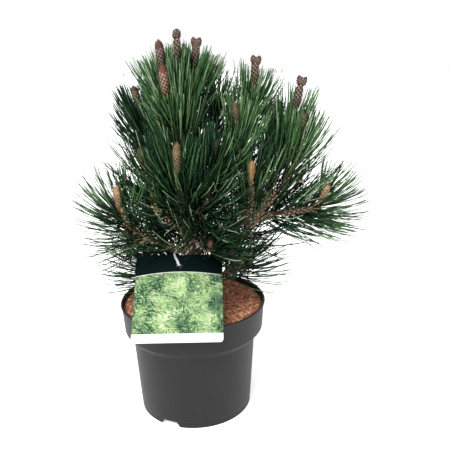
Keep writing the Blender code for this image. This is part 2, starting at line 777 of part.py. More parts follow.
def pot_profile():
    """(radius, height) points of the pot: up its inside, over its rim and down its outside."""
    bead_foot = POT_HEIGHT - BEAD_HEIGHT
    return [
        *inner_profile(),
        (LIP_TOP_RADIUS - POT_WALL + BEAD_ROUNDING, POT_HEIGHT),
        (BEAD_RADIUS - BEAD_ROUNDING, POT_HEIGHT),
        (BEAD_RADIUS, POT_HEIGHT - BEAD_ROUNDING),
        (BEAD_RADIUS, bead_foot),
        (LIP_TOP_RADIUS, bead_foot - BEAD_ROUNDING),
        (LIP_BOTTOM_RADIUS, LIP_BOTTOM),
        (LIP_BOTTOM_RADIUS - LIP_ROUNDING, LIP_BOTTOM - LIP_ROUNDING),
        (WALL_TOP_RADIUS, WALL_TOP),
        (FOOT_RADIUS, FOOT_CHAMFER),
        (FOOT_RADIUS - FOOT_CHAMFER, 0.0),
        (FOOT_RADIUS - FOOT_RING, 0.0),
        (FOOT_RADIUS - FOOT_RING, CHANNEL_HEIGHT),
        (CHANNEL_INNER_RADIUS + POT_WALL, CHANNEL_HEIGHT),
        (CHANNEL_INNER_RADIUS, 0.0),
        (0.0, 0.0),
    ]


def notch_cutter(azimuth_deg):
    """A wedge that cuts one drainage notch through the pot's foot ring."""
    foot, head = NOTCH_FOOT_WIDTH / 2, NOTCH_HEAD_WIDTH / 2
    below = (foot - head) / 4
    outline = [(-foot - below, -NOTCH_HEIGHT / 4), (foot + below, -NOTCH_HEIGHT / 4),
               (head, NOTCH_HEIGHT), (-head, NOTCH_HEIGHT)]
    cutter = object_from("notch", extruded(outline, 2 * NOTCH_DEPTH))
    upright = Matrix.Rotation(math.pi / 2, 4, "X")
    outward = Matrix.Translation((0.0, -FOOT_RADIUS - NOTCH_DEPTH, 0.0))
    turn = Matrix.Rotation(math.radians(azimuth_deg), 4, "Z")
    cutter.matrix_world = turn @ outward @ upright
    return cutter


def make_pot():
    """The pot: a turned shell with a deep lip, a drainage channel and notches in its foot ring."""
    pot = object_from("pot", turned(pot_profile()), material("pot_plastic", POT_LOOKS))
    for k in range(NOTCHES):
        cut(pot, notch_cutter(NOTCH_FIRST_DEG + 360.0 * k / NOTCHES))
    shade_round(pot, SHARP_PLASTIC_DEG)


def make_potting_bark(trunk):
    """The bark that fills the pot, with a low uneven crown and a flat seat for the trunk."""
    gap = 2 * CLEAR
    inside = [(radius - gap, height) for radius, height in inner_profile()[1:]]
    (low, low_z), (high, high_z) = inside[-2:]
    edge = low + (high - low) * (BARK_EDGE_HEIGHT - low_z) / (high_z - low_z)
    floor, channel = FLOOR_THICKNESS + CLEAR, CHANNEL_HEIGHT + POT_WALL + CLEAR
    profile = [(0.0, floor), (inside[0][0], floor), (inside[1][0], channel)]
    profile += [(inside[2][0], channel), inside[3], (inside[4][0], inside[4][1] + gap)]
    for k in range(BARK_RINGS):
        share = 1.0 - k / BARK_RINGS
        radius = BARK_SEAT_RADIUS + (edge - BARK_SEAT_RADIUS) * share
        crown = (BARK_CROWN_HEIGHT - BARK_EDGE_HEIGHT) * (1.0 - share ** 2)
        profile.append((radius, BARK_EDGE_HEIGHT + crown))
    seat = trunk.line.points[0].z - CLEAR
    profile += [(BARK_SEAT_RADIUS, seat), (0.0, seat)]
    shape = turned(profile)
    rng = random.Random(BARK_SEED)
    for vert in shape.verts:
        radius = math.hypot(vert.co.x, vert.co.y)
        if vert.co.z > BARK_EDGE_HEIGHT + CLEAR and radius > BARK_SEAT_RADIUS + CLEAR:
            vert.co.z += rng.uniform(-1, 1) * BARK_ROUGHNESS
    object_from("potting_bark", shape, material("potting_bark", POTTING_LOOKS))


def label_outline():
    """The label's outline on its own plane: square at its hanging edge and round below."""
    half, corner = LABEL_WIDTH / 2, LABEL_CORNER
    outline = [(half, 0.0), (-half, 0.0)]
    for x, first in ((-half + corner, 180.0), (half - corner, 270.0)):
        for k in range(LABEL_CORNER_STEPS + 1):
            turn = math.radians(first + 90.0 * k / LABEL_CORNER_STEPS)
            y = -LABEL_LENGTH + corner + corner * math.sin(turn)
            outline.append((x + corner * math.cos(turn), y))
    return outline


def make_label():
    """The label's card, with a round hole near its top edge."""
    label = object_from(
        "plant_label", extruded(label_outline(), LABEL_THICKNESS), material("label_card", LABEL_LOOKS)
    )
    label.matrix_world = label_place()
    hole = Vector((0.0, -HOLE_FROM_TOP, 0.0))
    ends = straight(hole - 3 * LABEL_THICKNESS * UP, hole + 2 * LABEL_THICKNESS * UP)
    cutter = object_from("hole", swept(ends, (HOLE_RADIUS, HOLE_RADIUS), HOLE_SIDES))
    cutter.matrix_world = label_place()
    cut(label, cutter)


def make_strap(line):
    """The clear strap that ties the label to the trunk, as one closed ring."""
    radii = [STRAP_RADIUS] * len(line.points)
    ring = swept(line, radii, STRAP_SIDES, closed=True)
    object_from("label_strap", ring, material("clear_plastic", STRAP_LOOKS))


def main():
    clear_scene()
    limbs = all_limbs()
    strap = strap_line(limbs["trunk"])
    make_pot()
    make_potting_bark(limbs["trunk"])
    make_label()
    make_strap(strap)
    make_limbs(limbs)
    make_foliage(limbs, strap)


if __name__ == "__main__":
    main()
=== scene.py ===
"""Dresses a young bosnian pine in its nursery pot, over the packed frame of its solids.

Metres, +Z up, front -Y. Every limb, shoot, candle and needle grows from one row of sizes for each
bough, by the rule that its solids follow, and is carried on to finer twigs and needles.
"""

import json
import math
from collections import namedtuple

import bmesh
import bpy
import numpy as np
from bpy.props import FloatProperty, FloatVectorProperty, IntProperty, PointerProperty
from mathutils import Matrix, Vector

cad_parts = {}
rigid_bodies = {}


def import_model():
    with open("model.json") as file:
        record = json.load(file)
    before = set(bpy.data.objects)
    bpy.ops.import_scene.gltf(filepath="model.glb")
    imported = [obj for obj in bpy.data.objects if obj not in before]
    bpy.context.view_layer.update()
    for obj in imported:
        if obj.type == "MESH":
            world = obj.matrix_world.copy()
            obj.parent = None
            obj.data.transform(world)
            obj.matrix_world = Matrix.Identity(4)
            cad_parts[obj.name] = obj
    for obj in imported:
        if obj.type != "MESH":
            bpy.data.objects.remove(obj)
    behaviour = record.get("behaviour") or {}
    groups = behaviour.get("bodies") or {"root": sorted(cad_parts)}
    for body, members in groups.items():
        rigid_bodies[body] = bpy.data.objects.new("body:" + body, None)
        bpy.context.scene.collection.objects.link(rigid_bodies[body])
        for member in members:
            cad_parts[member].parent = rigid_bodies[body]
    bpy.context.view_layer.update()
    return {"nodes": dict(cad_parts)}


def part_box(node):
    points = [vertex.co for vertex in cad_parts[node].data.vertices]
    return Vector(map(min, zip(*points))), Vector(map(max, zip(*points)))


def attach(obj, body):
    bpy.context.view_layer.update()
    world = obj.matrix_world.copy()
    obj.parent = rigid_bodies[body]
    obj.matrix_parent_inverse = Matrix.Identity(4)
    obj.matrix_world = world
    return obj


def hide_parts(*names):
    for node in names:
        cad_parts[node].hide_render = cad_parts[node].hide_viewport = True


bl_info = {
    "name": "Potted Pine",
    "version": (1, 0, 0),
    "blender": (4, 5, 0),
    "location": "View3D > Sidebar > Potted Pine",
    "description": "Builds a young potted pine with its candles, needles, pot, potting bark and label",
    "category": "Add Mesh",
}

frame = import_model()
POT_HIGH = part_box("pot")[1]
NODES = sorted(frame["nodes"])
MASSES = [node for node in NODES if node.startswith("needles_")]
LIMBS = [node for node in NODES if node.startswith("bough_")] + ["trunk"]

UP = np.array((0.0, 0.0, 1.0))
GOLDEN_TURN = math.pi * (3.0 - math.sqrt(5.0))
MOST_TRIANGLES = 195000
# The gap between the label or the strap and what they lie on
CLEAR = 0.0003
# The direction from the plant to the front camera, which looks down a little
TO_VIEWER = np.array((0.05, -0.96, 0.27))

# What stands free of needles as seen from the front: stretches of shoots and boughs, each between
# two shares of its length, and candles, each from a share of its length upwards
SHOWN_SHOOTS = (("low_right", 0.0, 0.45), ("low_right", 0.45, 0.8))
SHOWN_BOUGHS = (
    ("bough_right", 0.68, 1.0), ("bough_low_right", 0.55, 1.0), ("bough_low_left", 0.5, 0.75),
)
SHOWN_FROM = {
    "leader": 0.05, "right": 0.25, "mid_right": 0.45, "left_front": 0.25, "mid_front": 0.45,
    "front_right": 0.05, "low_left": 0.1, "low_right": 0.1, "upper_left": 0.5, "back_right": 0.5,
    "right_outer": 0.3, "front_low": 0.2,
}


# One row for each bough and its shoot. leaves: how far up its parent it starts, as a share.
# azimuth: its compass direction from +X towards +Y, in degrees. reach and height: of the candle's
# foot, from the pot's axis and underside. candle: its length. lean: how far it tips outwards, in
# degrees. buds: at its head. twigs: short side twigs of the shoot. hue: of its candle. fresh and
# lit: how far its needles lean to the lighter greens, for fresh growth and, as painted light, for a
# lit shoot; low values deal darker greens, as painted shade on a shaded shoot. over: how far the
# needle tips stand over the candle's head. open: how loose its needles stand. old: how loose those
# on its bough stand. bare: the share of the shoot that only bears stubs. parent: the limb that it
# leaves.
Row = namedtuple(
    "Row", "name leaves azimuth reach height candle lean buds twigs hue fresh over open old bare parent",
    defaults=(0.03, "trunk"),
)
ROWS = (
    Row("lower_left", 0.12, 163, 0.076, 0.212, 0.012, 78, 1, 1, "russet", 0.1, 0.055, 2.0, 1.4),
    Row("lower_right", 0.15, -18, 0.086, 0.238, 0.010, 52, 1, 1, "russet", 0.4, 0.05, 2.9, 1.1),
    Row("back_low_left", 0.16, 126, 0.135, 0.305, 0.020, 20, 1, 1, "olive", 0.2, 0.045, 4.6, 2.6),
    Row("back_low_right", 0.20, 50, 0.143, 0.302, 0.020, 20, 1, 1, "olive", 0.6, 0.05, 5.4, 2.6),
    Row("right", 0.24, -3, 0.149, 0.445, 0.064, 13, 2, 1, "umber", 0.8, -0.012, 2.1, 4.5),
    Row("front_right", 0.52, -30, 0.103, 0.371, 0.026, -2, 1, 0, "orange", 0.5, 0.032, 2.5, 2.0,
        parent="bough_right"),
    Row("low_right", 0.72, -7, 0.194, 0.334, 0.022, 12, 1, 0, "tan", 0.9, 0.04, 1.25, 0.9, bare=0.05,
        parent="bough_right"),
    Row("right_outer", 0.82, -12, 0.164, 0.436, 0.022, 0, 1, 0, "olive", 0.9, 0.006, 2.0, 3.6,
        parent="bough_right"),
    Row("back_right", 0.38, 22, 0.143, 0.437, 0.030, 6, 1, 1, "umber", 0.8, 0.0, 3.4, 5.5),
    Row("low_left", 0.40, 197, 0.103, 0.326, 0.034, 2, 1, 1, "tan", 0.5, 0.036, 2.0, 1.8, bare=0.10),
    Row("back_left", 0.41, 118, 0.102, 0.405, 0.022, 8, 1, 1, "olive", -0.3, 0.03, 3.2, 3.0),
    Row("front_low", 0.55, -63, 0.063, 0.275, 0.013, 14, 1, 0, "russet", 0.0, 0.05, 1.0, 1.1),
    Row("front_low_left", 0.56, 216, 0.060, 0.338, 0.014, 6, 1, 0, "olive", 0.3, 0.045, 4.2, 2.5),
    Row("mid_front", 0.63, -33, 0.084, 0.437, 0.038, -6, 1, 0, "olive", 0.9, 0.01, 1.9, 2.2),
    Row("left", 0.63, 190, 0.065, 0.388, 0.022, 4, 1, 0, "olive", 0.2, 0.032, 5.0, 4.0),
    Row("back", 0.66, 86, 0.090, 0.430, 0.022, 6, 1, 1, "olive", 0.0, 0.026, 3.2, 2.6),
    Row("front_low_right", 0.70, -62, 0.060, 0.350, 0.014, 4, 1, 0, "olive", 0.1, 0.05, 1.6, 1.1),
    Row("left_front", 0.73, 257, 0.054, 0.375, 0.048, -6, 1, 0, "bronze", 0.3, 0.022, 1.3, 1.1),
    Row("mid_right", 0.74, 12, 0.098, 0.483, 0.052, 5, 2, 1, "umber", 0.9, -0.018, 1.9, 3.0),
    Row("centre_front", 0.82, -57, 0.074, 0.405, 0.022, 4, 1, 0, "olive", 0.15, 0.028, 1.5, 1.1),
    Row("upper_left", 0.84, 150, 0.081, 0.456, 0.037, 15, 1, 1, "umber", -0.1, 0.006, 1.4, 2.5),
    Row("back_upper_right", 0.88, 53, 0.074, 0.464, 0.014, 5, 1, 0, "olive", 0.8, 0.032, 2.4, 3.0),
)

# The leader stands on the trunk's tip, and its side candles round it. Their reach is from its axis.
LEADER_FOOT = np.array((-0.009, 0.000, 0.528))
LEADER_CANDLE = 0.043
LEADER_OVER = -0.025
LEADER_SPREAD_DEG = 31.0
LEADER_TIP_SPREAD_SHARE = 0.60
LEADER_NEEDLES = (0.06, 0.98)
LEADER_RADII = (0.0044, 0.0034)
# How far the leader's needles lean to the lighter greens: fresh growth, and painted light on the lit top
LEADER_FRESH_AND_LIT = 0.9
LEADER_OPEN = 0.86
SIDES_LEAVE = 0.42
SIDE_NEEDLES = (0.02, 0.97)
Side = namedtuple("Side", "azimuth reach height candle lean buds hue over")
LEADER_SIDES = (
    Side(200, 0.0215, 0.512, 0.044, 6, 1, "umber", -0.020),
    Side(32, 0.027, 0.516, 0.045, 5, 2, "umber", -0.019),
    Side(244, 0.035, 0.4845, 0.041, 10, 1, "salmon", -0.030),
)

# Sizes of the trunk: where its middle runs, and its radius from the ground up
TRUNK_LINE = (
    (0.005, -0.003, 0.1712),
    (0.003, 0.000, 0.205),
    (0.000, 0.001, 0.245),
    (-0.003, 0.002, 0.300),
    (-0.008, 0.001, 0.360),
)
TRUNK_FOOT_RADIUS = 0.0105
TRUNK_TIP_RADIUS = 0.0062
ROOT_FLARE = 0.0058
ROOT_FLARE_HEIGHT = 0.008

# Rules of the boughs: their rise where they leave, their bend, and their taper
RISE_DEG = (6.0, 52.0)
LEAVE_REACH = 0.36
ARRIVE_REACH = 0.26
BOUGH_RADIUS_LEAST = 0.0040
BOUGH_RADIUS_PER_LENGTH = 0.016
BARE_SHARE_AT_LEAST = 0.28
SHOOT_RADIUS = 0.0034
SHOOT_TIP_RADIUS = 0.0030
COLLAR = 0.30
COLLAR_LENGTH = 0.010
CURVE_STEPS = 40
TRUNK_STEPS = 12
LIMB_STEP = 0.0015
# Needles are tested against straight stretches of these lengths, so many places at a time
STRETCH = 0.006
CANDLE_STRETCH = 0.010
TESTED_AT_ONCE = 4000

# Rules of the shoots. Pairs of values run from those low on the crown to those high on it.
LOW = 0.33
HIGH = 0.40
NEEDLED_LENGTH = 0.090
NEEDLE_FREE_HEAD = (0.045, 0.082)
FOOT_FREE = 0.002
LEAST_NEEDLE = 0.020
FULL_CANDLE = 0.040
SPREAD_DEG = (60.0, 26.0)
TIP_SPREAD_SHARE = (0.36, 0.66)
INCURVE_DEG = (16.0, 12.0)
DROOP = (-0.25, -0.50)
LIFT = (1.0, 0.0)
TWIG_RADIUS = 0.0019
TWIG_FOOT_GIRTH = 1.2
TWIG_HEAD_RISE = 0.25
TWIG_WAY_RISE = 0.7
TWIG_NEEDLES_FROM = 0.25
TWIG_SPREAD_SHARE = 0.9
TWIG_LEAN_DEG = (36.0, 18.0)
BUD_ON_TWIG = 0.012
BUD_GIRTH = 1.5
LOWEST_AIM = -0.35
HEAD_CROWDING = (0.62, 0.70)
BARE_FOOT = (0.0, 0.04)
LENGTHEN_DOWN = 0.20
PEG_SIZE = (0.0030, 0.0016)
PEG_SPACING = 0.0012
BOUGH_PEG_SIZE = 0.0034
BOUGH_PEG_SPACING = 0.0013
BOUGH_PEGS_FROM = 0.2
# The shortest and the longest twig, and the first and the last place up its stem for one
TWIG_LENGTHS = (0.022, 0.036)
TWIG_PLACES = (0.22, 0.66)

# Needles of the years before: where on the limb they start, and how they bend
Old = namedtuple("Old", "first droop incurve lift")
OLD_TRUNK = Old(0.12, -0.12, 7.0, 0.6)
OLD_BOUGH = Old(0.22, -0.25, 10.0, 0.5)
OLD_TRUNK_OPEN = 1.7
OLD_SPREAD_DEG = 58.0

# The potting bark beside the card and the rim behind it, before which no needle stands on the front
OPEN_BARK_RADIUS = 0.104
OPEN_BARK_FAR_SHARE = 0.72
OPEN_BARK_SIDES = (-0.088, 0.040)
OPEN_BARK_HEIGHT = 0.170
# How far to each side of a bare stem's middle no needle stands before it
BARE_STEM_RADIUS = 0.0045

# Rules of the candles, from foot to head
CANDLE_RADIUS_LEAST = 0.0044
CANDLE_RADIUS_MOST = 0.0063
CANDLE_RADIUS_PER_LENGTH = 0.05
CANDLE_SHARES = (0.0, 0.06, 0.2, 0.4, 0.6, 0.75, 0.86, 0.94, 0.985, 1.0)
CANDLE_WIDTHS = (0.50, 0.62, 0.76, 0.90, 0.98, 1.0, 0.95, 0.76, 0.42, 0.10)
SHORT_CANDLE = 0.030
SHORT_WIDTHS = (0.70, 0.84, 0.97, 1.06, 1.10, 1.08, 1.02, 0.84, 0.48, 0.12)
BUD_SHARES = (0.0, 0.2, 0.45, 0.7, 0.88, 0.97, 1.0)
BUD_WIDTHS = (0.62, 0.86, 1.0, 0.95, 0.68, 0.36, 0.10)
BUD_LENGTH = 0.012
BUD_LEAN_DEG = 19.0
BUD_RADIUS_SHARE = 0.72
NECK = BUD_LENGTH * math.cos(math.radians(BUD_LEAN_DEG))
Profile = namedtuple("Profile", "shares widths head_from")
LONG = Profile(CANDLE_SHARES, CANDLE_WIDTHS, 0.62)
SHORT = Profile(CANDLE_SHARES, SHORT_WIDTHS, 0.62)
FORKED = Profile(CANDLE_SHARES, CANDLE_WIDTHS, 0.86)
BUD = Profile(BUD_SHARES, BUD_WIDTHS, 0.0)
FORKED_SHORTER = 0.85 * NECK
MIDDLE_BUD = (0.95, 0.80)

# Heads of two and of three buds. stout: the body's girth. drop: of the side buds, below the middle
# one. long and wide: the side buds' size. turn: of their ring.
Head = namedtuple("Head", "stout drop long wide turn")
HEADS = {2: Head(0.90, 0.35 * NECK, 1.20, 0.99, 0.0), 3: Head(0.80, 0.002, 0.78, 0.78, 0.2)}

# Bud scales: their spacing on candles and on buds, and their corners. A corner is given by its share
# of the scale's height, its share of half the width, and how far it stands off the body.
SCALE_CELLS = (0.0054, 0.0036)
SMALL_BODY = 0.016
SCALE_OVERLAP = 1.15
SCALE_HEIGHT = 1.35
SCALE_WIDTH = 0.62
BODY_WIDTH = 0.90
SCALE = (
    (0.0, 0.0, 0.00005), (0.50, -1.0, 0.00015), (0.50, 1.0, 0.00015), (0.55, 0.0, 0.00045),
    (1.0, 0.0, 0.00075),
)
SCALE_FACES = np.array(((0, 3, 1), (0, 2, 3), (1, 3, 4), (3, 2, 4)))
MARGIN = (
    (0.36, -1.10, 0.00027), (0.54, -0.76, 0.00037), (0.36, 1.10, 0.00027), (0.54, 0.76, 0.00037),
    (0.84, 0.0, 0.00067), (1.10, 0.0, 0.00097),
)
MARGIN_FACES = np.array(((0, 1, 4, 5), (2, 5, 4, 3)))
MARGINS_UP_TO = 0.45
MARGINS_ON_HEAD = 0.08
LEAST_SCALES = 6
SCALED_SHARE = 0.97
SLOPE_STEP = 0.05
SCALES_END = 1.06
LEAST_SCALE_HEIGHT = 0.0012
NARROWEST_SCALE = 0.35
LEAST_GIRTH = 0.001

# Needles: how they vary, and how far they keep off what they grow among
LENGTH_VARIES = (0.97, 0.045)
LENGTH_ENDS = (0.82, 1.04)
TWIG_LENGTH_SHARE = 0.92
LEAN_VARIES_DEG = 3.5
BEND_VARIES_DEG = 4.5
SWEEP_VARIES_DEG = 4.0
RISE_VARIES = 0.08
PAIR_LEAN_DEG = 1.5
PAIR_SWEEP_DEG = 2.5
SWEEP_FROM = 0.4
ROOTED_AT = 0.6
NEEDLE_WIDTHS = (0.85, 1.0, 1.0, 0.92, 0.42)
OFF_SHOOTS = 0.0006
OFF_LIMBS = 0.0012
OFF_CANDLES = 0.0009
OFF_CARD = 0.0012
OVER_FLOOR = 0.004
OVER_RIM = 0.003
BESIDE_RIM = 0.004
SHEATH_LENGTH = 0.0045
SHEATH_RADII = (0.00120, 0.00105)

# Sizes of the label and of the strap that ties it
CARD_WIDTH = 0.1265
CARD_LENGTH = 0.139
CARD_THICKNESS = 0.0014
CARD_CORNER = 0.005
CARD_CENTRE_X = -0.0167
CARD_SLOPE_DEG = 39.2
CARD_OVERHANG = 0.0185
HOLE_RADIUS = 0.0042
HOLE_FROM_TOP = 0.020
STRAP_RADIUS = 0.0009
STRAP_HALF_WIDTH = 0.0024
STRAP_WIDE_LENGTH = 0.022
STRAP_BEND = 0.004
STRAP_STEPS = 8
STRAP_OVER_EDGE = (-0.007, 0.002)
STRAP_UNDER_EDGE = (0.008, 0.001)
STRAP_HEIGHT = 0.262
STRAP_AZIMUTHS = (195, 140, 85, 30, -20, -60)

Line = namedtuple("Line", "path radii")
# first and last: between which shares of it a twig bears needles. spread: how far they open at its
# foot, in degrees. tip: the share of that at its tip. crowd: how they crowd to the tip. top: how far
# they may rise over its tip.
Twig = namedtuple("Twig", "path radii first last spread tip crowd top", defaults=(0.6, 0.62, 1.0))
Candle = namedtuple("Candle", "foot way length radius buds hue")
# fresh and lit, and open: as in its row, the first also painted light and shade in the greens.
# droop: how far its needles sag. incurve: how far they bend back to the stem, in degrees. lift: how
# firmly they are kept from pointing down.
Shoot = namedtuple("Shoot", "name twigs candles fresh droop incurve lift open")


# Sizes and colours that a user may change


def metres(name, description, default):
    """A size in metres."""
    return FloatProperty(name=name, description=description, default=default, unit="LENGTH")


def tint(name, description, default):
    """A colour."""
    return FloatVectorProperty(name=name, description=description, default=default, subtype="COLOR")


class PotSizes(bpy.types.PropertyGroup):
    """Sizes and colour of the nursery pot."""

    height: metres("Height", "From the floor to the rim", POT_HIGH[2])
    rim: metres("Rim radius", "Outside of the rim's bead", POT_HIGH[0])
    foot: metres("Foot radius", "Outside of the foot ring", 0.0866)
    wall: metres("Wall", "Thickness of the plastic", 0.0016)
    colour: tint("Colour", "Moulded plastic", (0.0070, 0.0070, 0.0069))
    worn: tint("Worn", "Dusty and scuffed plastic", (0.0165, 0.0165, 0.0160))


class BarkSizes(bpy.types.PropertyGroup):
    """Sizes and colours of the potting bark."""

    edge: metres("Edge height", "Height of the bark at the pot's wall", 0.1675)
    crown: metres("Crown height", "Height of the bark at the trunk", 0.1712)
    radius: metres("Radius", "Where the bark meets the pot's wall", 0.1066)
    chips: IntProperty(name="Chips", description="Loose pieces of bark", default=1500)
    fibres: IntProperty(name="Fibres", description="Loose fibres of bark", default=620)
    bed: tint("Bed", "Fine bark below", (0.30, 0.100, 0.046))
    red: tint("Red", "Fresh chips", (0.54, 0.222, 0.098))
    dark: tint("Dark", "Wet chips", (0.120, 0.040, 0.020))
    pale: tint("Pale", "Fibres", (0.66, 0.42, 0.26))


class LabelColours(bpy.types.PropertyGroup):
    """Colours of the plant label and its strap."""

    band: tint("Band", "Head of the card", (0.0008, 0.0050, 0.0050))
    shade: tint("Shade", "Darkest leaf tone", (0.012, 0.042, 0.032))
    leaf: tint("Leaf", "Middle leaf tone", (0.135, 0.235, 0.100))
    light: tint("Light", "Bright leaf tone", (0.35, 0.46, 0.22))
    bloom: tint("Bloom", "Palest leaf tone", (0.62, 0.58, 0.52))
    paper: tint("Paper", "Foot and back of the card", (0.70, 0.71, 0.69))
    strap: tint("Strap", "Clear strap", (0.84, 0.90, 0.87))


class LimbColours(bpy.types.PropertyGroup):
    """Colours of the trunk, boughs and shoots."""

    bark: tint("Bark", "Ridges of the bark", (0.34, 0.235, 0.150))
    furrow: tint("Furrow", "Furrows of the bark", (0.085, 0.046, 0.026))
    # The young stems' tones are their own brown darkened further, as painted shade between the pegs
    stem: tint("Stem", "Ridges of the young stems", (0.130, 0.072, 0.044))
    stem_furrow: tint("Stem furrow", "Furrows of the young stems", (0.045, 0.020, 0.012))
    peg: tint("Peg", "Pegs that the needles stand on", (0.82, 0.63, 0.43))
    sheath: tint("Sheath", "Papery sleeves of the needles", (0.36, 0.26, 0.17))


class NeedleSizes(bpy.types.PropertyGroup):
    """Sizes and greens of the needles."""

    length: metres("Length", "Of a full needle", 0.095)
    radius: metres("Radius", "Half a needle's width", 0.00079)
    spacing: metres("Spacing", "From one pair of needles to the next", 0.00057)
    # Painted shade: the share of brightness left at the needles' feet, as if shaded by the brush above
    shaded: FloatProperty(name="Shaded", description="How bright the needles' feet are", default=0.42)
    deep: tint("Deep", "Darkest green", (0.0012, 0.0112, 0.0044))
    dark: tint("Dark", "Dark green", (0.0058, 0.0275, 0.0100))
    middle: tint("Middle", "Middle green", (0.0190, 0.0610, 0.0200))
    # The lighter greens go more to fresh and lit shoots, the darker to shaded ones: partly painted light
    # and shade
    fresh: tint("Fresh", "Fresh green", (0.0600, 0.1350, 0.0430))
    # Pale needles stand for bloom and, as painted highlights, for needles that catch the light
    pale: tint("Pale", "Bloomed grey green", (0.1900, 0.2750, 0.1500))


class StageSizes(bpy.types.PropertyGroup):
    """The floor, the lights and the camera."""

    floor: metres("Floor", "Radius of the floor", 9.0)
    soft: FloatProperty(name="Soft light", description="From all around", default=0.78)
    broad: FloatProperty(name="Broad light", description="From above the front left", default=2.7)
    lens: FloatProperty(name="Lens", description="Focal length", default=49.28, unit="CAMERA")
    distance: metres("Distance", "Of the camera in front of the pot's axis", 0.880096)
    height: metres("Height", "Of the camera", 0.56156)
    aside: metres("Aside", "Of the camera, to the right", 0.051735)
    tilt: FloatProperty(
        name="Tilt", description="Of the camera, downwards", default=math.radians(17.0565), subtype="ANGLE"
    )
    roll: FloatProperty(
        name="Roll", description="Of the camera", default=math.radians(-1.1441), subtype="ANGLE"
    )


# Shader maths


class Wire:
    """A socket's value. Arithmetic on it adds Math nodes to its finish."""

    def __init__(self, finish, socket):
        self.finish = finish
        self.socket = socket

    def maths(self, operation, *values, **settings):
        """One Math node on some values."""
        settings = {"operation": operation, **settings}
        return self.finish.node("ShaderNodeMath", settings, dict(enumerate(values)))

    def __add__(self, other):
        return self.maths("ADD", self, other)

    def __sub__(self, other):
        return self.maths("SUBTRACT", self, other)

    def __rsub__(self, other):
        return self.maths("SUBTRACT", other, self)

    def __mul__(self, other):
        return self.maths("MULTIPLY", self, other)

    __radd__ = __add__
    __rmul__ = __mul__

    def between(self, low, high):
        """0 below one value, 1 above another, and smooth from one to the other."""
        settings = {"data_type": "FLOAT", "interpolation_type": "SMOOTHSTEP"}
        return self.finish.node("ShaderNodeMapRange", settings, {0: self, 1: low, 2: high})


class Finish:
    """A material, from its first node to the Principled surface that it ends in."""

    def __init__(self, name, **sockets):
        self.material = bpy.data.materials.new(name)
        self.material.use_nodes = True
        self.tree = self.material.node_tree
        self.surface = self.tree.nodes["Principled BSDF"]
        for socket, value in sockets.items():
            self.surface.inputs[socket.replace("_", " ")].default_value = value

    def feed(self, socket, value):
        """Gives a socket a value or a link."""
        if isinstance(value, Wire):
            self.tree.links.new(value.socket, socket)
        else:
            socket.default_value = value

    def node(self, kind, settings, inputs, output=0):
        """Adds a node: its settings first, then the values or links of its sockets."""
        made = self.tree.nodes.new(kind)
        for name, value in settings.items():
            setattr(made, name, value)
        for name, value in inputs.items():
            self.feed(made.inputs[name], value)
        return Wire(self, made.outputs[output])

    def place(self):
        """Where a point of the surface lies, in metres."""
        return self.node("ShaderNodeTexCoord", {}, {}, "Object")

    def stretched(self, place, scale):
        """A place with its three directions scaled."""
        return self.node("ShaderNodeVectorMath", {"operation": "MULTIPLY"}, {0: place, 1: scale})

    def noise(self, place, scale, detail=3.0, rough=0.5, output=0):
        """Soft noise, with a number of spots to the metre."""
        inputs = {"Vector": place, "Scale": scale, "Detail": detail, "Roughness": rough}
        return self.node("ShaderNodeTexNoise", {}, inputs, output)

    def blend(self, factor, first, second):
        """The first colour where the factor is 0 and the second where it is 1."""
        colours = [(*c, 1.0) if not isinstance(c, Wire) else c for c in (first, second)]
        settings = {"data_type": "RGBA"}
        return self.node("ShaderNodeMix", settings, {0: factor, 6: colours[0], 7: colours[1]}, 2)

    def surface_of(self, colour, roughness, height=None, depth=0.0003, strength=0.6):
        """Ends the finish in a colour, a roughness and a relief."""
        if not isinstance(colour, Wire):
            colour = (*colour, 1.0)
        self.feed(self.surface.inputs["Base Color"], colour)
        self.feed(self.surface.inputs["Roughness"], roughness)
        if height is not None:
            inputs = {"Strength": strength, "Distance": depth, "Height": height}
            self.feed(self.surface.inputs["Normal"], self.node("ShaderNodeBump", {}, inputs))
        return self.material


def shaded(colour, share):
    """A colour made darker, or lighter as far as white."""
    return tuple(min(1.0, share * part) for part in colour)


def pot_finish(sizes):
    """Dark grey moulded plastic with a satin skin, mould streaks, and patches of dust and scuffs."""
    finish = Finish("pot_plastic", Specular_IOR_Level=0.24)
    place = finish.place()
    clouds = finish.noise(place, 14.0, 4.0)
    streaks = finish.noise(finish.stretched(place, (1.0, 1.0, 0.05)), 160.0, 3.0)
    skin = finish.noise(place, 1400.0, 2.0)
    scuffs = finish.noise(finish.stretched(place, (1.0, 1.0, 2.6)), 95.0, 6.0, 0.65)
    scuffs = scuffs.between(0.60, 0.74)
    dust = (clouds * 0.7 + streaks * 0.3).between(0.35, 0.75) * 0.35 + scuffs * 0.30
    colour = finish.blend(dust, sizes.colour, sizes.worn)
    roughness = 0.44 + clouds * 0.12 + scuffs * 0.16 + skin * 0.06
    return finish.surface_of(colour, roughness, streaks * 0.5 + skin * 0.5, 0.00018, 0.35)


def bed_finish(sizes):
    """Fine red-brown bark, darker in the hollows of its relief."""
    finish = Finish("bark_bed")
    place = finish.place()
    lumps = finish.noise(place, 120.0, 6.0, 0.7)
    threads = finish.noise(finish.stretched(place, (1.0, 3.2, 1.0)), 260.0, 5.0, 0.7)
    colour = finish.blend(threads.between(0.42, 0.70), sizes.bed, sizes.red)
    # Darker where the relief is low, in the hollows
    colour = finish.blend(lumps.between(0.56, 0.42), colour, sizes.dark)
    return finish.surface_of(colour, 0.82 + lumps * 0.15, lumps * 0.6 + threads * 0.4, 0.0016, 0.9)


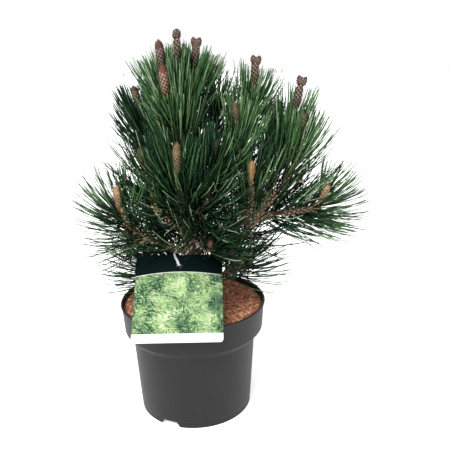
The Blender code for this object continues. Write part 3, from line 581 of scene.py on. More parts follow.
def chip_finish(name, base, other):
    """Loose bark: fibrous, with a second tone in its grain."""
    finish = Finish(name)
    place = finish.place()
    grain = finish.noise(finish.stretched(place, (1.0, 2.6, 1.4)), 420.0, 5.0, 0.65)
    spots = finish.noise(place, 46.0, 3.0)
    colour = finish.blend((grain * 0.6 + spots * 0.4).between(0.36, 0.66), base, other)
    return finish.surface_of(colour, 0.72 + grain * 0.22, grain, 0.0005, 0.7)


def grained(name, noise, ends, tones, rough, relief, stretch=(1.0, 1.0, 1.0), **sockets):
    """A finish of one fine grain, in two tones, a roughness and a relief that follow it."""
    finish = Finish(name, **sockets)
    grain = finish.noise(finish.stretched(finish.place(), stretch), *noise)
    colour = finish.blend(grain.between(*ends), *tones)
    height = grain if relief else None
    return finish.surface_of(colour, rough[0] + grain * rough[1], height, *relief)


def print_finish(colours):
    """The face of the card: a dark head, a field of drifting leaf blades and a bare white foot."""
    finish = Finish("card_face", Specular_IOR_Level=0.07)
    card = finish.node("ShaderNodeUVMap", {"uv_map": "card"}, {})
    across = finish.node("ShaderNodeSeparateXYZ", {}, {0: card}, 0)
    down = finish.node("ShaderNodeSeparateXYZ", {}, {0: card}, 1)
    drift = finish.noise(card, 2.6, 1.0)
    tone = 0.0
    for turn, swing, share, centre in (
        (0.3, 2.2, 0.40, (0.1, 1.7, 0.0)),
        (1.5, -1.9, 0.34, (1.6, -0.5, 0.0)),
        (2.6, 1.6, 0.26, (-0.7, 0.1, 0.0)),
    ):
        inputs = {"Vector": card, "Center": centre, "Angle": drift * swing + turn}
        turned = finish.node("ShaderNodeVectorRotate", {}, inputs)
        blades = finish.noise(finish.stretched(turned, (11.0, 1.9, 1.0)), 5.6, 3.0, 0.62)
        tone = blades * share + tone
    clumps = finish.noise(card, 4.3, 2.0)
    side = (across - 0.5) * (across - 0.5) * 4.0
    light = tone + clumps * 0.36 - side * 0.05 - 0.075
    field = finish.blend(light.between(0.51, 0.59), colours.shade, colours.leaf)
    field = finish.blend(light.between(0.58, 0.67), field, colours.light)
    bloom = finish.noise(card, 6.5, 2.0).between(0.48, 0.66)
    field = finish.blend(light.between(0.62, 0.72) * bloom, field, colours.bloom)
    arch = 0.205 + side * 0.05
    colour = finish.blend((down - arch).between(0.0, 0.004), colours.band, colours.paper)
    colour = finish.blend((down - arch).between(0.006, 0.010), colour, field)
    colour = finish.blend(down.between(0.904, 0.908), colour, colours.paper)
    wear = finish.noise(finish.place(), 240.0, 4.0)
    return finish.surface_of(colour, 0.34 + wear * 0.12, wear, 0.00008, 0.25)


def paper_finish(colours):
    """The white back and edges of the card."""
    tones = colours.paper, shaded(colours.paper, 0.93)
    rough, relief = (0.38, 0.14), (0.00006, 0.3)
    return grained("card_back", (300.0, 4.0), (0.3, 0.8), tones, rough, relief, Specular_IOR_Level=0.45)


def strap_finish(colours):
    """Clear plastic with drawn lines along it."""
    finish = Finish("clear_strap", Transmission_Weight=0.55, IOR=1.45)
    lines = finish.noise(finish.place(), 500.0, 3.0)
    colour = finish.blend(lines, colours.strap, shaded(colours.strap, 0.86))
    return finish.surface_of(colour, 0.14 + lines * 0.12, lines, 0.0001, 0.3)


def bark_finish(name, ridge, furrow):
    """Scaly young bark: grey-brown ridges over darker furrows, with lichen-pale flecks."""
    finish = Finish(name, Specular_IOR_Level=0.3)
    place = finish.place()
    scales = finish.noise(finish.stretched(place, (1.0, 1.0, 0.55)), 330.0, 5.0, 0.65)
    patches = finish.noise(place, 60.0, 4.0)
    colour = finish.blend((scales * 0.65 + patches * 0.35).between(0.36, 0.62), furrow, ridge)
    pale = tuple(min(1.0, 1.45 * part + 0.03) for part in ridge)
    colour = finish.blend((scales * patches).between(0.29, 0.40) * 0.7, colour, pale)
    # Darker towards the bottom: below 0.30 m the colour turns towards half the furrows' tone
    height = finish.node("ShaderNodeSeparateXYZ", {}, {0: place}, 2)
    colour = finish.blend(height.between(0.30, 0.235) * 0.75, colour, shaded(furrow, 0.5))
    return finish.surface_of(colour, 0.74 + scales * 0.2, scales, 0.0006, 0.8)


def sheath_finish(colour):
    """Papery brown sleeves."""
    finish = Finish("needle_sheath", Specular_IOR_Level=0.3)
    fibre = finish.noise(finish.place(), 700.0, 3.0)
    colour = finish.blend(fibre, shaded(colour, 0.62), colour)
    return finish.surface_of(colour, 0.7 + fibre * 0.2, fibre, 0.0002, 0.4)


def needle_finish(name, colour):
    """A smooth waxy green, a touch lighter or darker along each needle."""
    tones = shaded(colour, 0.78), shaded(colour, 1.30)
    return grained(name, (140.0, 2.0), (0.3, 0.7), tones, (0.42, 0.18), (), Specular_IOR_Level=0.12)


def scale_finish(name, colour):
    """Papery bud scales, darker and lighter in fine lines."""
    tones = shaded(colour, 0.72), shaded(colour, 1.25)
    rough, relief, stretch = (0.5, 0.2), (0.0002, 0.4), (1.0, 1.0, 0.5)
    return grained(
        name, (620.0, 3.0), (0.3, 0.7), tones, rough, relief, stretch, Specular_IOR_Level=0.4
    )


def floor_finish():
    """A plain pale studio floor."""
    finish = Finish("studio_floor", Specular_IOR_Level=0.2, Emission_Strength=0.40)
    tone = finish.noise(finish.place(), 3.0, 2.0)
    colour = finish.blend(tone, (0.96, 0.96, 0.96), (0.985, 0.985, 0.985))
    finish.surface.inputs["Emission Color"].default_value = (1.0, 1.0, 1.0, 1.0)
    return finish.surface_of(colour, 0.75 + tone * 0.1)


# Meshes


class Pile:
    """Points and faces that gather into one mesh piece."""

    def __init__(self):
        self.points = []
        self.faces = []
        self.finishes = []
        self.count = 0

    def add(self, points, faces, finish=0):
        """Adds points and the groups of faces between them, with one finish for all or one for each."""
        self.points.append(points.reshape(-1, 3))
        for group, look in zip(faces, np.broadcast_to(finish, len(faces))):
            group = group.reshape(-1, group.shape[-1])
            self.faces.append(group + self.count)
            self.finishes.append(np.full(len(group), look))
        self.count += len(self.points[-1])

    def add_like(self, points, faces, finish=0):
        """Adds many small forms, each with its own row of points and all with the same faces."""
        starts = np.arange(len(points)) * points.shape[1]
        self.add(points, (starts[:, None, None] + faces,), finish)

    def triangles(self):
        """How many triangles the faces come to."""
        return sum(len(group) * (group.shape[1] - 2) for group in self.faces)

    def mesh(self, name):
        """One smooth mesh of the whole pile."""
        if self.triangles() > MOST_TRIANGLES:
            raise ValueError(f"{name} has {self.triangles()} triangles")
        points = np.concatenate(self.points)
        corners = np.concatenate([group.ravel() for group in self.faces])
        sizes = np.concatenate([np.full(len(group), group.shape[1]) for group in self.faces])
        mesh = bpy.data.meshes.new(name)
        mesh.vertices.add(len(points))
        mesh.vertices.foreach_set("co", points.ravel())
        mesh.loops.add(len(corners))
        mesh.loops.foreach_set("vertex_index", corners)
        mesh.polygons.add(len(sizes))
        mesh.polygons.foreach_set("loop_start", np.concatenate(([0], np.cumsum(sizes)[:-1])))
        mesh.polygons.foreach_set("material_index", np.concatenate(self.finishes))
        mesh.update(calc_edges=True)
        mesh.shade_smooth()
        return mesh


def taken(shape, name):
    """The mesh of a finished shape."""
    mesh = bpy.data.meshes.new(name)
    shape.to_mesh(mesh)
    shape.free()
    return mesh


def thickened(shape, faces, step, keep=False):
    """Draws a shape's faces out by a step and closes the body."""
    made = bmesh.ops.extrude_face_region(shape, geom=faces, use_keep_orig=keep)
    moved = [v for v in made["geom"] if isinstance(v, bmesh.types.BMVert)]
    bmesh.ops.translate(shape, vec=step, verts=moved)
    bmesh.ops.recalc_face_normals(shape, faces=shape.faces)


def put(name, made, looks, nodes):
    """Puts a mesh or a pile on the plant as a piece that stands for some of its solids."""
    mesh = made.mesh(name) if isinstance(made, Pile) else made
    piece = bpy.data.objects.new(name, mesh)
    bpy.context.scene.collection.objects.link(piece)
    for look in looks:
        mesh.materials.append(look)
    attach(piece, "root")
    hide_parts(*nodes)
    return piece


def turns_of(sides):
    """The angles of a ring's corners."""
    return np.arange(sides) * math.tau / sides


def on_level(radius, turn):
    """Places at a distance and an angle from the pot's axis, at no height."""
    return np.stack((radius * np.cos(turn), radius * np.sin(turn), 0.0 * radius * turn), axis=-1)


def unit(vectors):
    """Vectors brought to a length of one."""
    return vectors / np.maximum(np.linalg.norm(vectors, axis=-1, keepdims=True), 1e-9)


def square_to(vectors, ways):
    """Unit vectors turned as little as needed to stand square to some ways."""
    return unit(vectors - (vectors * ways).sum(axis=-1, keepdims=True) * ways)


def tubes(paths, radii, normals, sides):
    """Points and faces of closed tubes along paths of as many points each."""
    ways = unit(np.gradient(paths, axis=1))
    first = square_to(np.broadcast_to(normals[:, None], ways.shape), ways)
    return rings_to_tubes(paths, radii[..., None], first, np.cross(ways, first), sides)


def rings_to_tubes(paths, radii, first, second, sides):
    """Points and faces of tubes whose rings have a radius for each path, point and side."""
    turn = turns_of(sides)[:, None]
    ring = np.cos(turn) * first[..., None, :] + np.sin(turn) * second[..., None, :]
    points = paths[..., None, :] + radii[..., None] * ring
    grid = np.arange(points.size // 3).reshape(points.shape[:-1])
    after = np.roll(grid, -1, axis=-1)
    quads = np.stack((grid[:, :-1], after[:, :-1], after[:, 1:], grid[:, 1:]), axis=-1)
    return points, (quads, grid[:, 0, ::-1], grid[:, -1])


def carried_frames(path):
    """Two directions square to a path at each of its points, carried along it without a twist."""
    ways = unit(np.gradient(path, axis=0))
    side = unit(np.cross(ways[0], (0.31, 0.87, 0.38)))
    first = []
    for way in ways:
        side = square_to(side, way)
        first.append(side)
    first = np.array(first)
    return ways, first, np.cross(ways, first)


def ripple(places, size, seed, count=9):
    """Soft noise around 0 at some places, with lumps of about one size."""
    rng = np.random.default_rng(seed)
    waves = unit(rng.normal(size=(count, 3))) * math.tau / (size * rng.uniform(0.7, 1.9, (count, 1)))
    return np.sin(places @ waves.T + rng.uniform(0.0, math.tau, count)).sum(axis=-1) * 2 / count


def spirals(windings, turn, lengths, level=0.0):
    """The relief of ridges that wind round a stem. Each has its starts, its pitch and its height."""
    ridges = (high * np.cos(starts * turn + lengths * pitch) for starts, pitch, high in windings)
    return sum(ridges, level)


def lengths_along(path):
    """How far along a path each of its points lies."""
    return np.concatenate(([0.0], np.cumsum(np.linalg.norm(np.diff(path, axis=0), axis=1))))


def along(path, shares):
    """Places some shares of the way along a path."""
    lengths = lengths_along(path)
    at = np.asarray(shares) * lengths[-1]
    return np.stack([np.interp(at, lengths, path[:, k]) for k in range(3)], axis=-1)


def spread_over(values, shares):
    """Evenly spread values, read at shares of their whole."""
    return np.interp(shares, np.linspace(0.0, 1.0, len(values)), values)


def spaced(path, step):
    """A path with its points an even step apart."""
    count = max(2, int(lengths_along(path)[-1] / step) + 1)
    return along(path, np.linspace(0.0, 1.0, count))


def bezier(corners, first=0.0, last=1.0, steps=CURVE_STEPS):
    """A stretch of a cubic curve, between two of its values from 0 to 1."""
    a, b, c, d = corners
    t = np.linspace(first, last, steps + 1)[:, None]
    s = 1.0 - t
    return s ** 3 * a + 3 * s * s * t * b + 3 * s * t * t * c + t ** 3 * d


def bent(start, leave, arrive, end):
    """The corners of a curve that leaves one place in a direction and arrives at another in one."""
    third = np.linalg.norm(end - start) / 3
    return start, start + third * leave, end - third * arrive, end


def smooth_path(corners, steps, closed=False):
    """A curve through corners, with a number of steps from each one to the next."""
    corners = np.array(corners)
    if closed:
        ends = np.vstack((corners[-1:], corners, corners[:2]))
    else:
        ends = np.vstack((2 * corners[:1] - corners[1:2], corners, 2 * corners[-1:] - corners[-2:-1]))
    parts = []
    for a, b, c, d in zip(ends, ends[1:], ends[2:], ends[3:]):
        parts.append(bezier((b, b + (c - a) / 6, c - (d - b) / 6, c), steps=steps)[:-1])
    if not closed:
        parts.append(ends[-2:-1])
    return np.vstack(parts)


# Growth


def compass(azimuth_deg):
    """The level direction of an azimuth."""
    turn = math.radians(azimuth_deg)
    return np.array((math.cos(turn), math.sin(turn), 0.0))


def leaning(outward, lean_deg):
    """The upright direction, tipped outwards."""
    lean = math.radians(lean_deg)
    return math.cos(lean) * UP + math.sin(lean) * outward


def by_height(ends, height):
    """A value that runs from the first of two at the crown's foot to the second near its top."""
    share = min(1.0, max(0.0, (height - LOW) / (HIGH - LOW)))
    return ends[0] + (ends[1] - ends[0]) * share


def trunk_limb():
    """The trunk's middle line and radii, with its root flare."""
    path = spaced(smooth_path(TRUNK_LINE, TRUNK_STEPS), LIMB_STEP)
    up = path[:, 2] - path[0, 2]
    taper = TRUNK_FOOT_RADIUS + (TRUNK_TIP_RADIUS - TRUNK_FOOT_RADIUS) * up / up[-1]
    return Line(path, taper + ROOT_FLARE * np.exp(-up / ROOT_FLARE_HEIGHT))


def growth(row, parent):
    """The curve that a bough and its shoot follow, from inside the parent to the candle's foot."""
    start = along(parent.path, row.leaves)
    foot = row.reach * compass(row.azimuth) + row.height * UP
    level = unit((foot - start) * (1.0, 1.0, 0.0))
    rise = math.radians(RISE_DEG[0] + (RISE_DEG[1] - RISE_DEG[0]) * row.leaves)
    leave = math.cos(rise) * level + math.sin(rise) * UP
    arrive = leaning(compass(row.azimuth), row.lean)
    chord = np.linalg.norm(foot - start)
    return start, start + LEAVE_REACH * chord * leave, foot - ARRIVE_REACH * chord * arrive, foot


def needle_free(row):
    """How far below the candle's foot the needles end: less where the candle is only a bud."""
    head = by_height(NEEDLE_FREE_HEAD, row.height) * min(1.0, row.candle / FULL_CANDLE)
    return max(0.0, head - row.candle)


def split_of(row, corners):
    """The value on a growth's curve where its bough ends and its shoot starts."""
    lengths = lengths_along(bezier(corners))
    needled = NEEDLED_LENGTH + needle_free(row)
    bare = max(BARE_SHARE_AT_LEAST, 1.0 - needled / lengths[-1])
    return np.interp(bare * lengths[-1], lengths, np.linspace(0.0, 1.0, len(lengths)))


def bough_limb(row, parent):
    """The middle line and radii of one bough. It starts on its parent's middle line."""
    corners = growth(row, parent)
    path = spaced(bezier(corners, 0.0, split_of(row, corners)), LIMB_STEP)
    lengths = lengths_along(path)
    root = BOUGH_RADIUS_LEAST + BOUGH_RADIUS_PER_LENGTH * lengths[-1]
    radii = root + (SHOOT_RADIUS - root) * lengths / lengths[-1]
    collar = 1.0 + COLLAR * np.exp(-((lengths / COLLAR_LENGTH) ** 2))
    return Line(path, radii * collar)


def all_limbs():
    """The trunk and every bough, by their names."""
    limbs = {"trunk": trunk_limb()}
    for row in ROWS:
        limbs["bough_" + row.name] = bough_limb(row, limbs[row.parent])
    return limbs


def candle_radius(length):
    """How stout a candle of a given length is."""
    return min(CANDLE_RADIUS_MOST, CANDLE_RADIUS_LEAST + CANDLE_RADIUS_PER_LENGTH * length)


def tapering(path, foot, head):
    """Radii along a path, from its foot to its head."""
    lengths = lengths_along(path)
    return foot + (head - foot) * lengths / lengths[-1]


def side_twigs(stem, last, spread, lean_deg, count, rng, hue):
    """Short twigs of a stem, each with a bud at its end."""
    ways, first, second = carried_frames(stem)
    lean = math.radians(lean_deg)
    turn = rng.uniform(0.0, math.tau)
    twigs, buds = [], []
    for place in np.linspace(*TWIG_PLACES, count):
        turn += GOLDEN_TURN
        k = int((len(stem) - 1) * place * last)
        outward = math.cos(turn) * first[k] + math.sin(turn) * second[k]
        leave = unit(math.cos(lean) * ways[k] + math.sin(lean) * outward)
        head = stem[k] + rng.uniform(*TWIG_LENGTHS) * unit(leave + TWIG_HEAD_RISE * UP)
        way = unit(leave + TWIG_WAY_RISE * UP)
        path = spaced(bezier(bent(stem[k], leave, way, head)), LIMB_STEP)
        radii = tapering(path, TWIG_RADIUS * TWIG_FOOT_GIRTH, TWIG_RADIUS)
        twigs.append(Twig(path, radii, TWIG_NEEDLES_FROM, 1.0, spread * TWIG_SPREAD_SHARE))
        buds.append(Candle(head, way, BUD_ON_TWIG, TWIG_RADIUS * BUD_GIRTH, 1, hue))
    return twigs, buds


def shoot_of(row, parent, number):
    """The stem, side twigs and candles of one bough's shoot."""
    corners = growth(row, parent)
    stem = spaced(bezier(corners, split_of(row, corners), 1.0), LIMB_STEP)
    ends = SPREAD_DEG, TIP_SPREAD_SHARE, TWIG_LEAN_DEG, HEAD_CROWDING, DROOP, INCURVE_DEG, LIFT
    spread, tip, lean, crowd, droop, incurve, lift = (by_height(pair, row.height) for pair in ends)
    first = max(row.bare, by_height(BARE_FOOT, row.height))
    last = 1.0 - FOOT_FREE / lengths_along(stem)[-1]
    count = row.twigs + (row.height < HIGH)
    rng = np.random.default_rng((number, 7))
    twigs, candles = side_twigs(stem, last, spread, lean, count, rng, row.hue)
    radii = tapering(stem, SHOOT_RADIUS, SHOOT_TIP_RADIUS)
    twigs.insert(0, Twig(stem, radii, first, last, spread, tip, crowd, row.candle + row.over))
    way = unit(stem[-1] - stem[-2])
    candles.append(Candle(stem[-1], way, row.candle, candle_radius(row.candle), row.buds, row.hue))
    return Shoot("needles_" + row.name, twigs, candles, row.fresh, droop, incurve, lift, row.open)


def leader_shoot(trunk):
    """The shoot on the trunk's tip, with its ring of side candles."""
    growing = LEADER_SPREAD_DEG, LEADER_TIP_SPREAD_SHARE, HEAD_CROWDING[1]
    start, way = trunk.path[-1], unit(trunk.path[-1] - trunk.path[-2])
    stem = spaced(bezier(bent(start, way, UP, LEADER_FOOT)), LIMB_STEP)
    radii = tapering(stem, *LEADER_RADII)
    twigs = [Twig(stem, radii, *LEADER_NEEDLES, *growing, LEADER_CANDLE + LEADER_OVER)]
    candles = [Candle(LEADER_FOOT, UP, LEADER_CANDLE, candle_radius(LEADER_CANDLE), 3, "umber")]
    fork = along(stem, SIDES_LEAVE)
    for side in LEADER_SIDES:
        outward = compass(side.azimuth)
        foot = LEADER_FOOT * (1.0, 1.0, 0.0) + side.height * UP + side.reach * outward
        way = leaning(outward, side.lean)
        path = spaced(bezier(bent(fork, unit(foot - fork), way, foot)), LIMB_STEP)
        radii = tapering(path, SHOOT_RADIUS, SHOOT_TIP_RADIUS)
        twigs.append(Twig(path, radii, *SIDE_NEEDLES, *growing, side.candle + side.over))
        candles.append(Candle(foot, way, side.candle, candle_radius(side.candle), side.buds, side.hue))
    return Shoot(
        "needles_leader", twigs, candles, LEADER_FRESH_AND_LIT, DROOP[1], INCURVE_DEG[1], LIFT[1], LEADER_OPEN
    )


def all_shoots(limbs):
    """Every shoot of the crown."""
    shoots = [shoot_of(row, limbs[row.parent], number) for number, row in enumerate(ROWS)]
    return [*shoots, leader_shoot(limbs["trunk"])]


def old_wood(limbs):
    """The stretches of the trunk and boughs that still bear needles from the years before."""
    loose = {"trunk": OLD_TRUNK_OPEN, **{"bough_" + row.name: row.old for row in ROWS}}
    bearers = []
    for name, open_by in loose.items():
        old = OLD_TRUNK if name == "trunk" else OLD_BOUGH
        twig = Twig(*limbs[name], old.first, 1.0, OLD_SPREAD_DEG)
        bearers.append(Shoot(name, [twig], [], 0.0, old.droop, old.incurve, old.lift, open_by))
    return bearers


def stretches(lines, step=STRETCH):
    """The straight stretches of some lines, as arrays of ends and radii."""
    starts, ends, radii = [], [], []
    for path, thickness in lines:
        coarse = spaced(path, step)
        starts.append(coarse[:-1])
        ends.append(coarse[1:])
        radii.append(spread_over(thickness, np.linspace(0.0, 1.0, len(coarse) - 1)))
    return np.concatenate(starts), np.concatenate(ends), np.concatenate(radii)


def gaps_to(places, solids):
    """How far each place lies from the nearest surface of round solids along stretches."""
    starts, ends, radii = solids
    ways = ends - starts
    squares = np.maximum((ways * ways).sum(axis=1), 1e-12)
    found = []
    for some in np.array_split(places, len(places) // TESTED_AT_ONCE + 1):
        away = some[:, None] - starts
        share = np.clip((away * ways).sum(axis=2) / squares, 0.0, 1.0)
        found.append((np.linalg.norm(away - share[..., None] * ways, axis=2) - radii).min(axis=1))
    return np.concatenate(found)


def candle_line(candle):
    """A candle's middle line and radius."""
    path = candle.foot + np.outer(np.linspace(0.0, 1.0, 4), candle.length * candle.way)
    return path, np.full(4, candle.radius)


def twig_lines(shoot):
    """The middle lines and radii of a shoot's twigs."""
    return [(twig.path, twig.radii) for twig in shoot.twigs]


# Label


def card_place():
    """The label's placement: its own origin is the middle of its top edge, on its face."""
    turn = Matrix.Rotation(math.radians(CARD_SLOPE_DEG), 4, "X")
    rim = Vector((CARD_CENTRE_X, -POT_HIGH[0], POT_HIGH[2]))
    to_top = Vector((0.0, CARD_LENGTH - CARD_OVERHANG, CLEAR + CARD_THICKNESS))
    return Matrix.Translation(rim + turn @ to_top) @ turn


def on_card(places):
    """Some places in the label's own frame, and the turn into that frame."""
    inverse = np.array(card_place().inverted())
    return places @ inverse[:3, :3].T + inverse[:3, 3], inverse[:3, :3]


def card_gaps(places):
    """How far each place lies from the label's card."""
    local = on_card(places)[0]
    middle = np.array((0.0, -CARD_LENGTH / 2, -CARD_THICKNESS / 2))
    half = np.array((CARD_WIDTH, CARD_LENGTH, CARD_THICKNESS)) / 2
    return np.linalg.norm(np.maximum(abs(local - middle) - half, 0.0), axis=1)


def before_card(places):
    """Which places stand before the label's card, as seen from the front and a little above."""
    local, turn = on_card(places)
    towards = turn @ TO_VIEWER
    seen = abs(local - local[:, 2:] / towards[2] * towards + (0.0, CARD_LENGTH / 2, 0.0))
    return (seen[:, 0] < CARD_WIDTH / 2) & (seen[:, 1] < CARD_LENGTH / 2) & (local[:, 2] > 0.0)


def before_bark(places):
    """Which places stand before the open potting bark or close over its far rim, from the front."""
    drop = (places[:, 2] - OPEN_BARK_HEIGHT) / TO_VIEWER[2]
    under = places - drop[:, None] * TO_VIEWER
    open_bark = (under[:, 0] > OPEN_BARK_SIDES[1]) | (under[:, 0] < OPEN_BARK_SIDES[0])
    depth = np.maximum(OPEN_BARK_FAR_SHARE * under[:, 1], -under[:, 1])
    return open_bark & (drop > 0.0) & (np.hypot(under[:, 0], depth) < OPEN_BARK_RADIUS)


def bare_stretch(limb, first, last):
    """A stretch of a stem that shows on the front, in the form of a candle."""
    foot, head = along(limb.path, (first, last))
    return Candle(foot, unit(head - foot), np.linalg.norm(head - foot), BARE_STEM_RADIUS, 1, "")


def before_candle(places, candle, free_from):
    """Which places stand before a candle's free part, as seen from the front and a little above."""
    aside = unit(np.cross(candle.way, TO_VIEWER))
    front = np.cross(aside, candle.way)
    away = places - candle.foot
    depth = away @ front / (TO_VIEWER @ front)
    up = (away - depth[:, None] * TO_VIEWER) @ candle.way
    between = (up > free_from * candle.length) & (up < candle.length)
    return between & (depth > 0.0) & (abs(away @ aside) < candle.radius)


def strap_path(trunk):
    """The strap's middle line: out of the hole, over the card's edge, round the trunk and back."""
    place = card_place()
    hole = -HOLE_FROM_TOP + HOLE_RADIUS - STRAP_RADIUS - 3 * CLEAR
    off = STRAP_RADIUS + 4 * CLEAR
    k = int(np.argmin(abs(trunk.path[:, 2] - STRAP_HEIGHT)))
    away = trunk.radii[k] + STRAP_RADIUS + 3 * CLEAR
    corners = [
        place @ Vector((0.0, hole, -CARD_THICKNESS / 2)),
        place @ Vector((-STRAP_BEND / 2, hole + STRAP_BEND, off)),
        place @ Vector((*STRAP_OVER_EDGE, off)),
        *(trunk.path[k] + away * compass(azimuth) for azimuth in STRAP_AZIMUTHS),
        place @ Vector((*STRAP_UNDER_EDGE, -CARD_THICKNESS - off)),
        place @ Vector((STRAP_BEND / 2, hole + STRAP_BEND, -CARD_THICKNESS - off)),
    ]
    return smooth_path(corners, STRAP_STEPS, closed=True)


def ring_of(radius, sides, centre=(0.0, 0.0)):
    """Corners of a circle on the card."""
    turns = (math.tau * k / sides for k in range(sides))
    return [(centre[0] + radius * math.cos(t), centre[1] + radius * math.sin(t)) for t in turns]


# Pieces


def turned_mesh(name, profile, segments):
    """A mesh turned about Z from (radius, height) points that start and end on the axis."""
    shape = bmesh.new()
    corners = [shape.verts.new((radius, 0.0, height)) for radius, height in profile]
    edges = [shape.edges.new(ends) for ends in zip(corners, corners[1:])]
    bmesh.ops.spin(
        shape, geom=corners + edges, cent=(0, 0, 0), axis=(0, 0, 1), angle=math.tau, steps=segments,
        use_merge=True,
    )
    bmesh.ops.remove_doubles(shape, verts=shape.verts, dist=1e-6)
    bmesh.ops.recalc_face_normals(shape, faces=shape.faces)
    return taken(shape, name)


def rounded(profile, radius, steps=4):
    """A profile with its inner corners rounded, as far as its stretches are long enough."""
    points = [Vector(point) for point in profile]
    out = [points[0]]
    for before, corner, after in zip(points, points[1:], points[2:]):
        back, on = before - corner, after - corner
        reach = min(radius, back.length / 2.2, on.length / 2.2)
        start, end = corner + reach * back.normalized(), corner + reach * on.normalized()
        for k in range(steps + 1):
            t = k / steps
            out.append((1 - t) ** 2 * start + 2 * t * (1 - t) * corner + t * t * end)
    return [tuple(point) for point in [*out, points[-1]]]


class PINE_OT_stage(bpy.types.Operator):
    """Sets the floor, the soft lights and the camera"""

    bl_idname = "pine.stage"
    bl_label = "Stage"

    white = (1.0, 1.0, 1.0, 1.0)
    sides = 96
    # Each lamp's place, size and strength
    lamps = {"key": ((-1.1, -1.5, 1.9), 0.7, 30.0), "fill": ((1.7, -1.2, 1.0), 1.2, 7.0)}
    aim = (0.0, 0.0, 0.3)
    broad_tilt_deg = (38.0, -22.0, 0.0)
    broad_width_deg = 28.0

    def execute(self, context):
        sizes = context.scene.pine_stage
        pile = Pile()
        pile.add(on_level(sizes.floor, turns_of(self.sides)), (np.arange(self.sides)[None],))
        floor = self.placed("studio_floor", pile.mesh("studio_floor"))
        floor.data.materials.append(floor_finish())
        context.scene.world = self.world(sizes.soft)
        broad = self.placed("broad", bpy.data.lights.new("broad", "SUN"))
        broad.data.energy = sizes.broad
        broad.data.angle = math.radians(self.broad_width_deg)
        broad.rotation_euler = [math.radians(turn) for turn in self.broad_tilt_deg]
        for name, (place, size, energy) in self.lamps.items():
            lamp = self.placed(name, bpy.data.lights.new(name, "AREA"))
            lamp.data.size = size
            lamp.data.energy = energy
            turn = (Vector(self.aim) - Vector(place)).to_track_quat("-Z", "Y")
            lamp.matrix_world = Matrix.Translation(place) @ turn.to_matrix().to_4x4()
        camera = self.placed("camera", bpy.data.cameras.new("camera"))
        camera.data.lens = sizes.lens
        camera.data.sensor_width = 36.0
        camera.data.clip_start = 0.01
        place = Matrix.Translation((sizes.aside, -sizes.distance, sizes.height))
        tilt = Matrix.Rotation(math.pi / 2 - sizes.tilt, 4, "X")
        camera.matrix_world = place @ tilt @ Matrix.Rotation(sizes.roll, 4, "Z")
        context.scene.camera = camera
        context.scene.view_settings.view_transform = "Standard"
        return {"FINISHED"}

    def placed(self, name, data):
        """A new object in the scene."""
        made = bpy.data.objects.new(name, data)
        bpy.context.scene.collection.objects.link(made)
        return made

    def world(self, strength):
        """Even white light from all around, before a white backdrop."""
        world = bpy.data.worlds.new("studio")
        world.use_nodes = True
        tree = world.node_tree
        soft = tree.nodes["Background"]
        backdrop = tree.nodes.new("ShaderNodeBackground")
        path = tree.nodes.new("ShaderNodeLightPath")
        chosen = tree.nodes.new("ShaderNodeMixShader")
        soft.inputs["Color"].default_value = self.white
        soft.inputs["Strength"].default_value = strength
        backdrop.inputs["Color"].default_value = self.white
        tree.links.new(path.outputs["Is Camera Ray"], chosen.inputs[0])
        tree.links.new(soft.outputs[0], chosen.inputs[1])
        tree.links.new(backdrop.outputs[0], chosen.inputs[2])
        tree.links.new(chosen.outputs[0], tree.nodes["World Output"].inputs["Surface"])
        return world


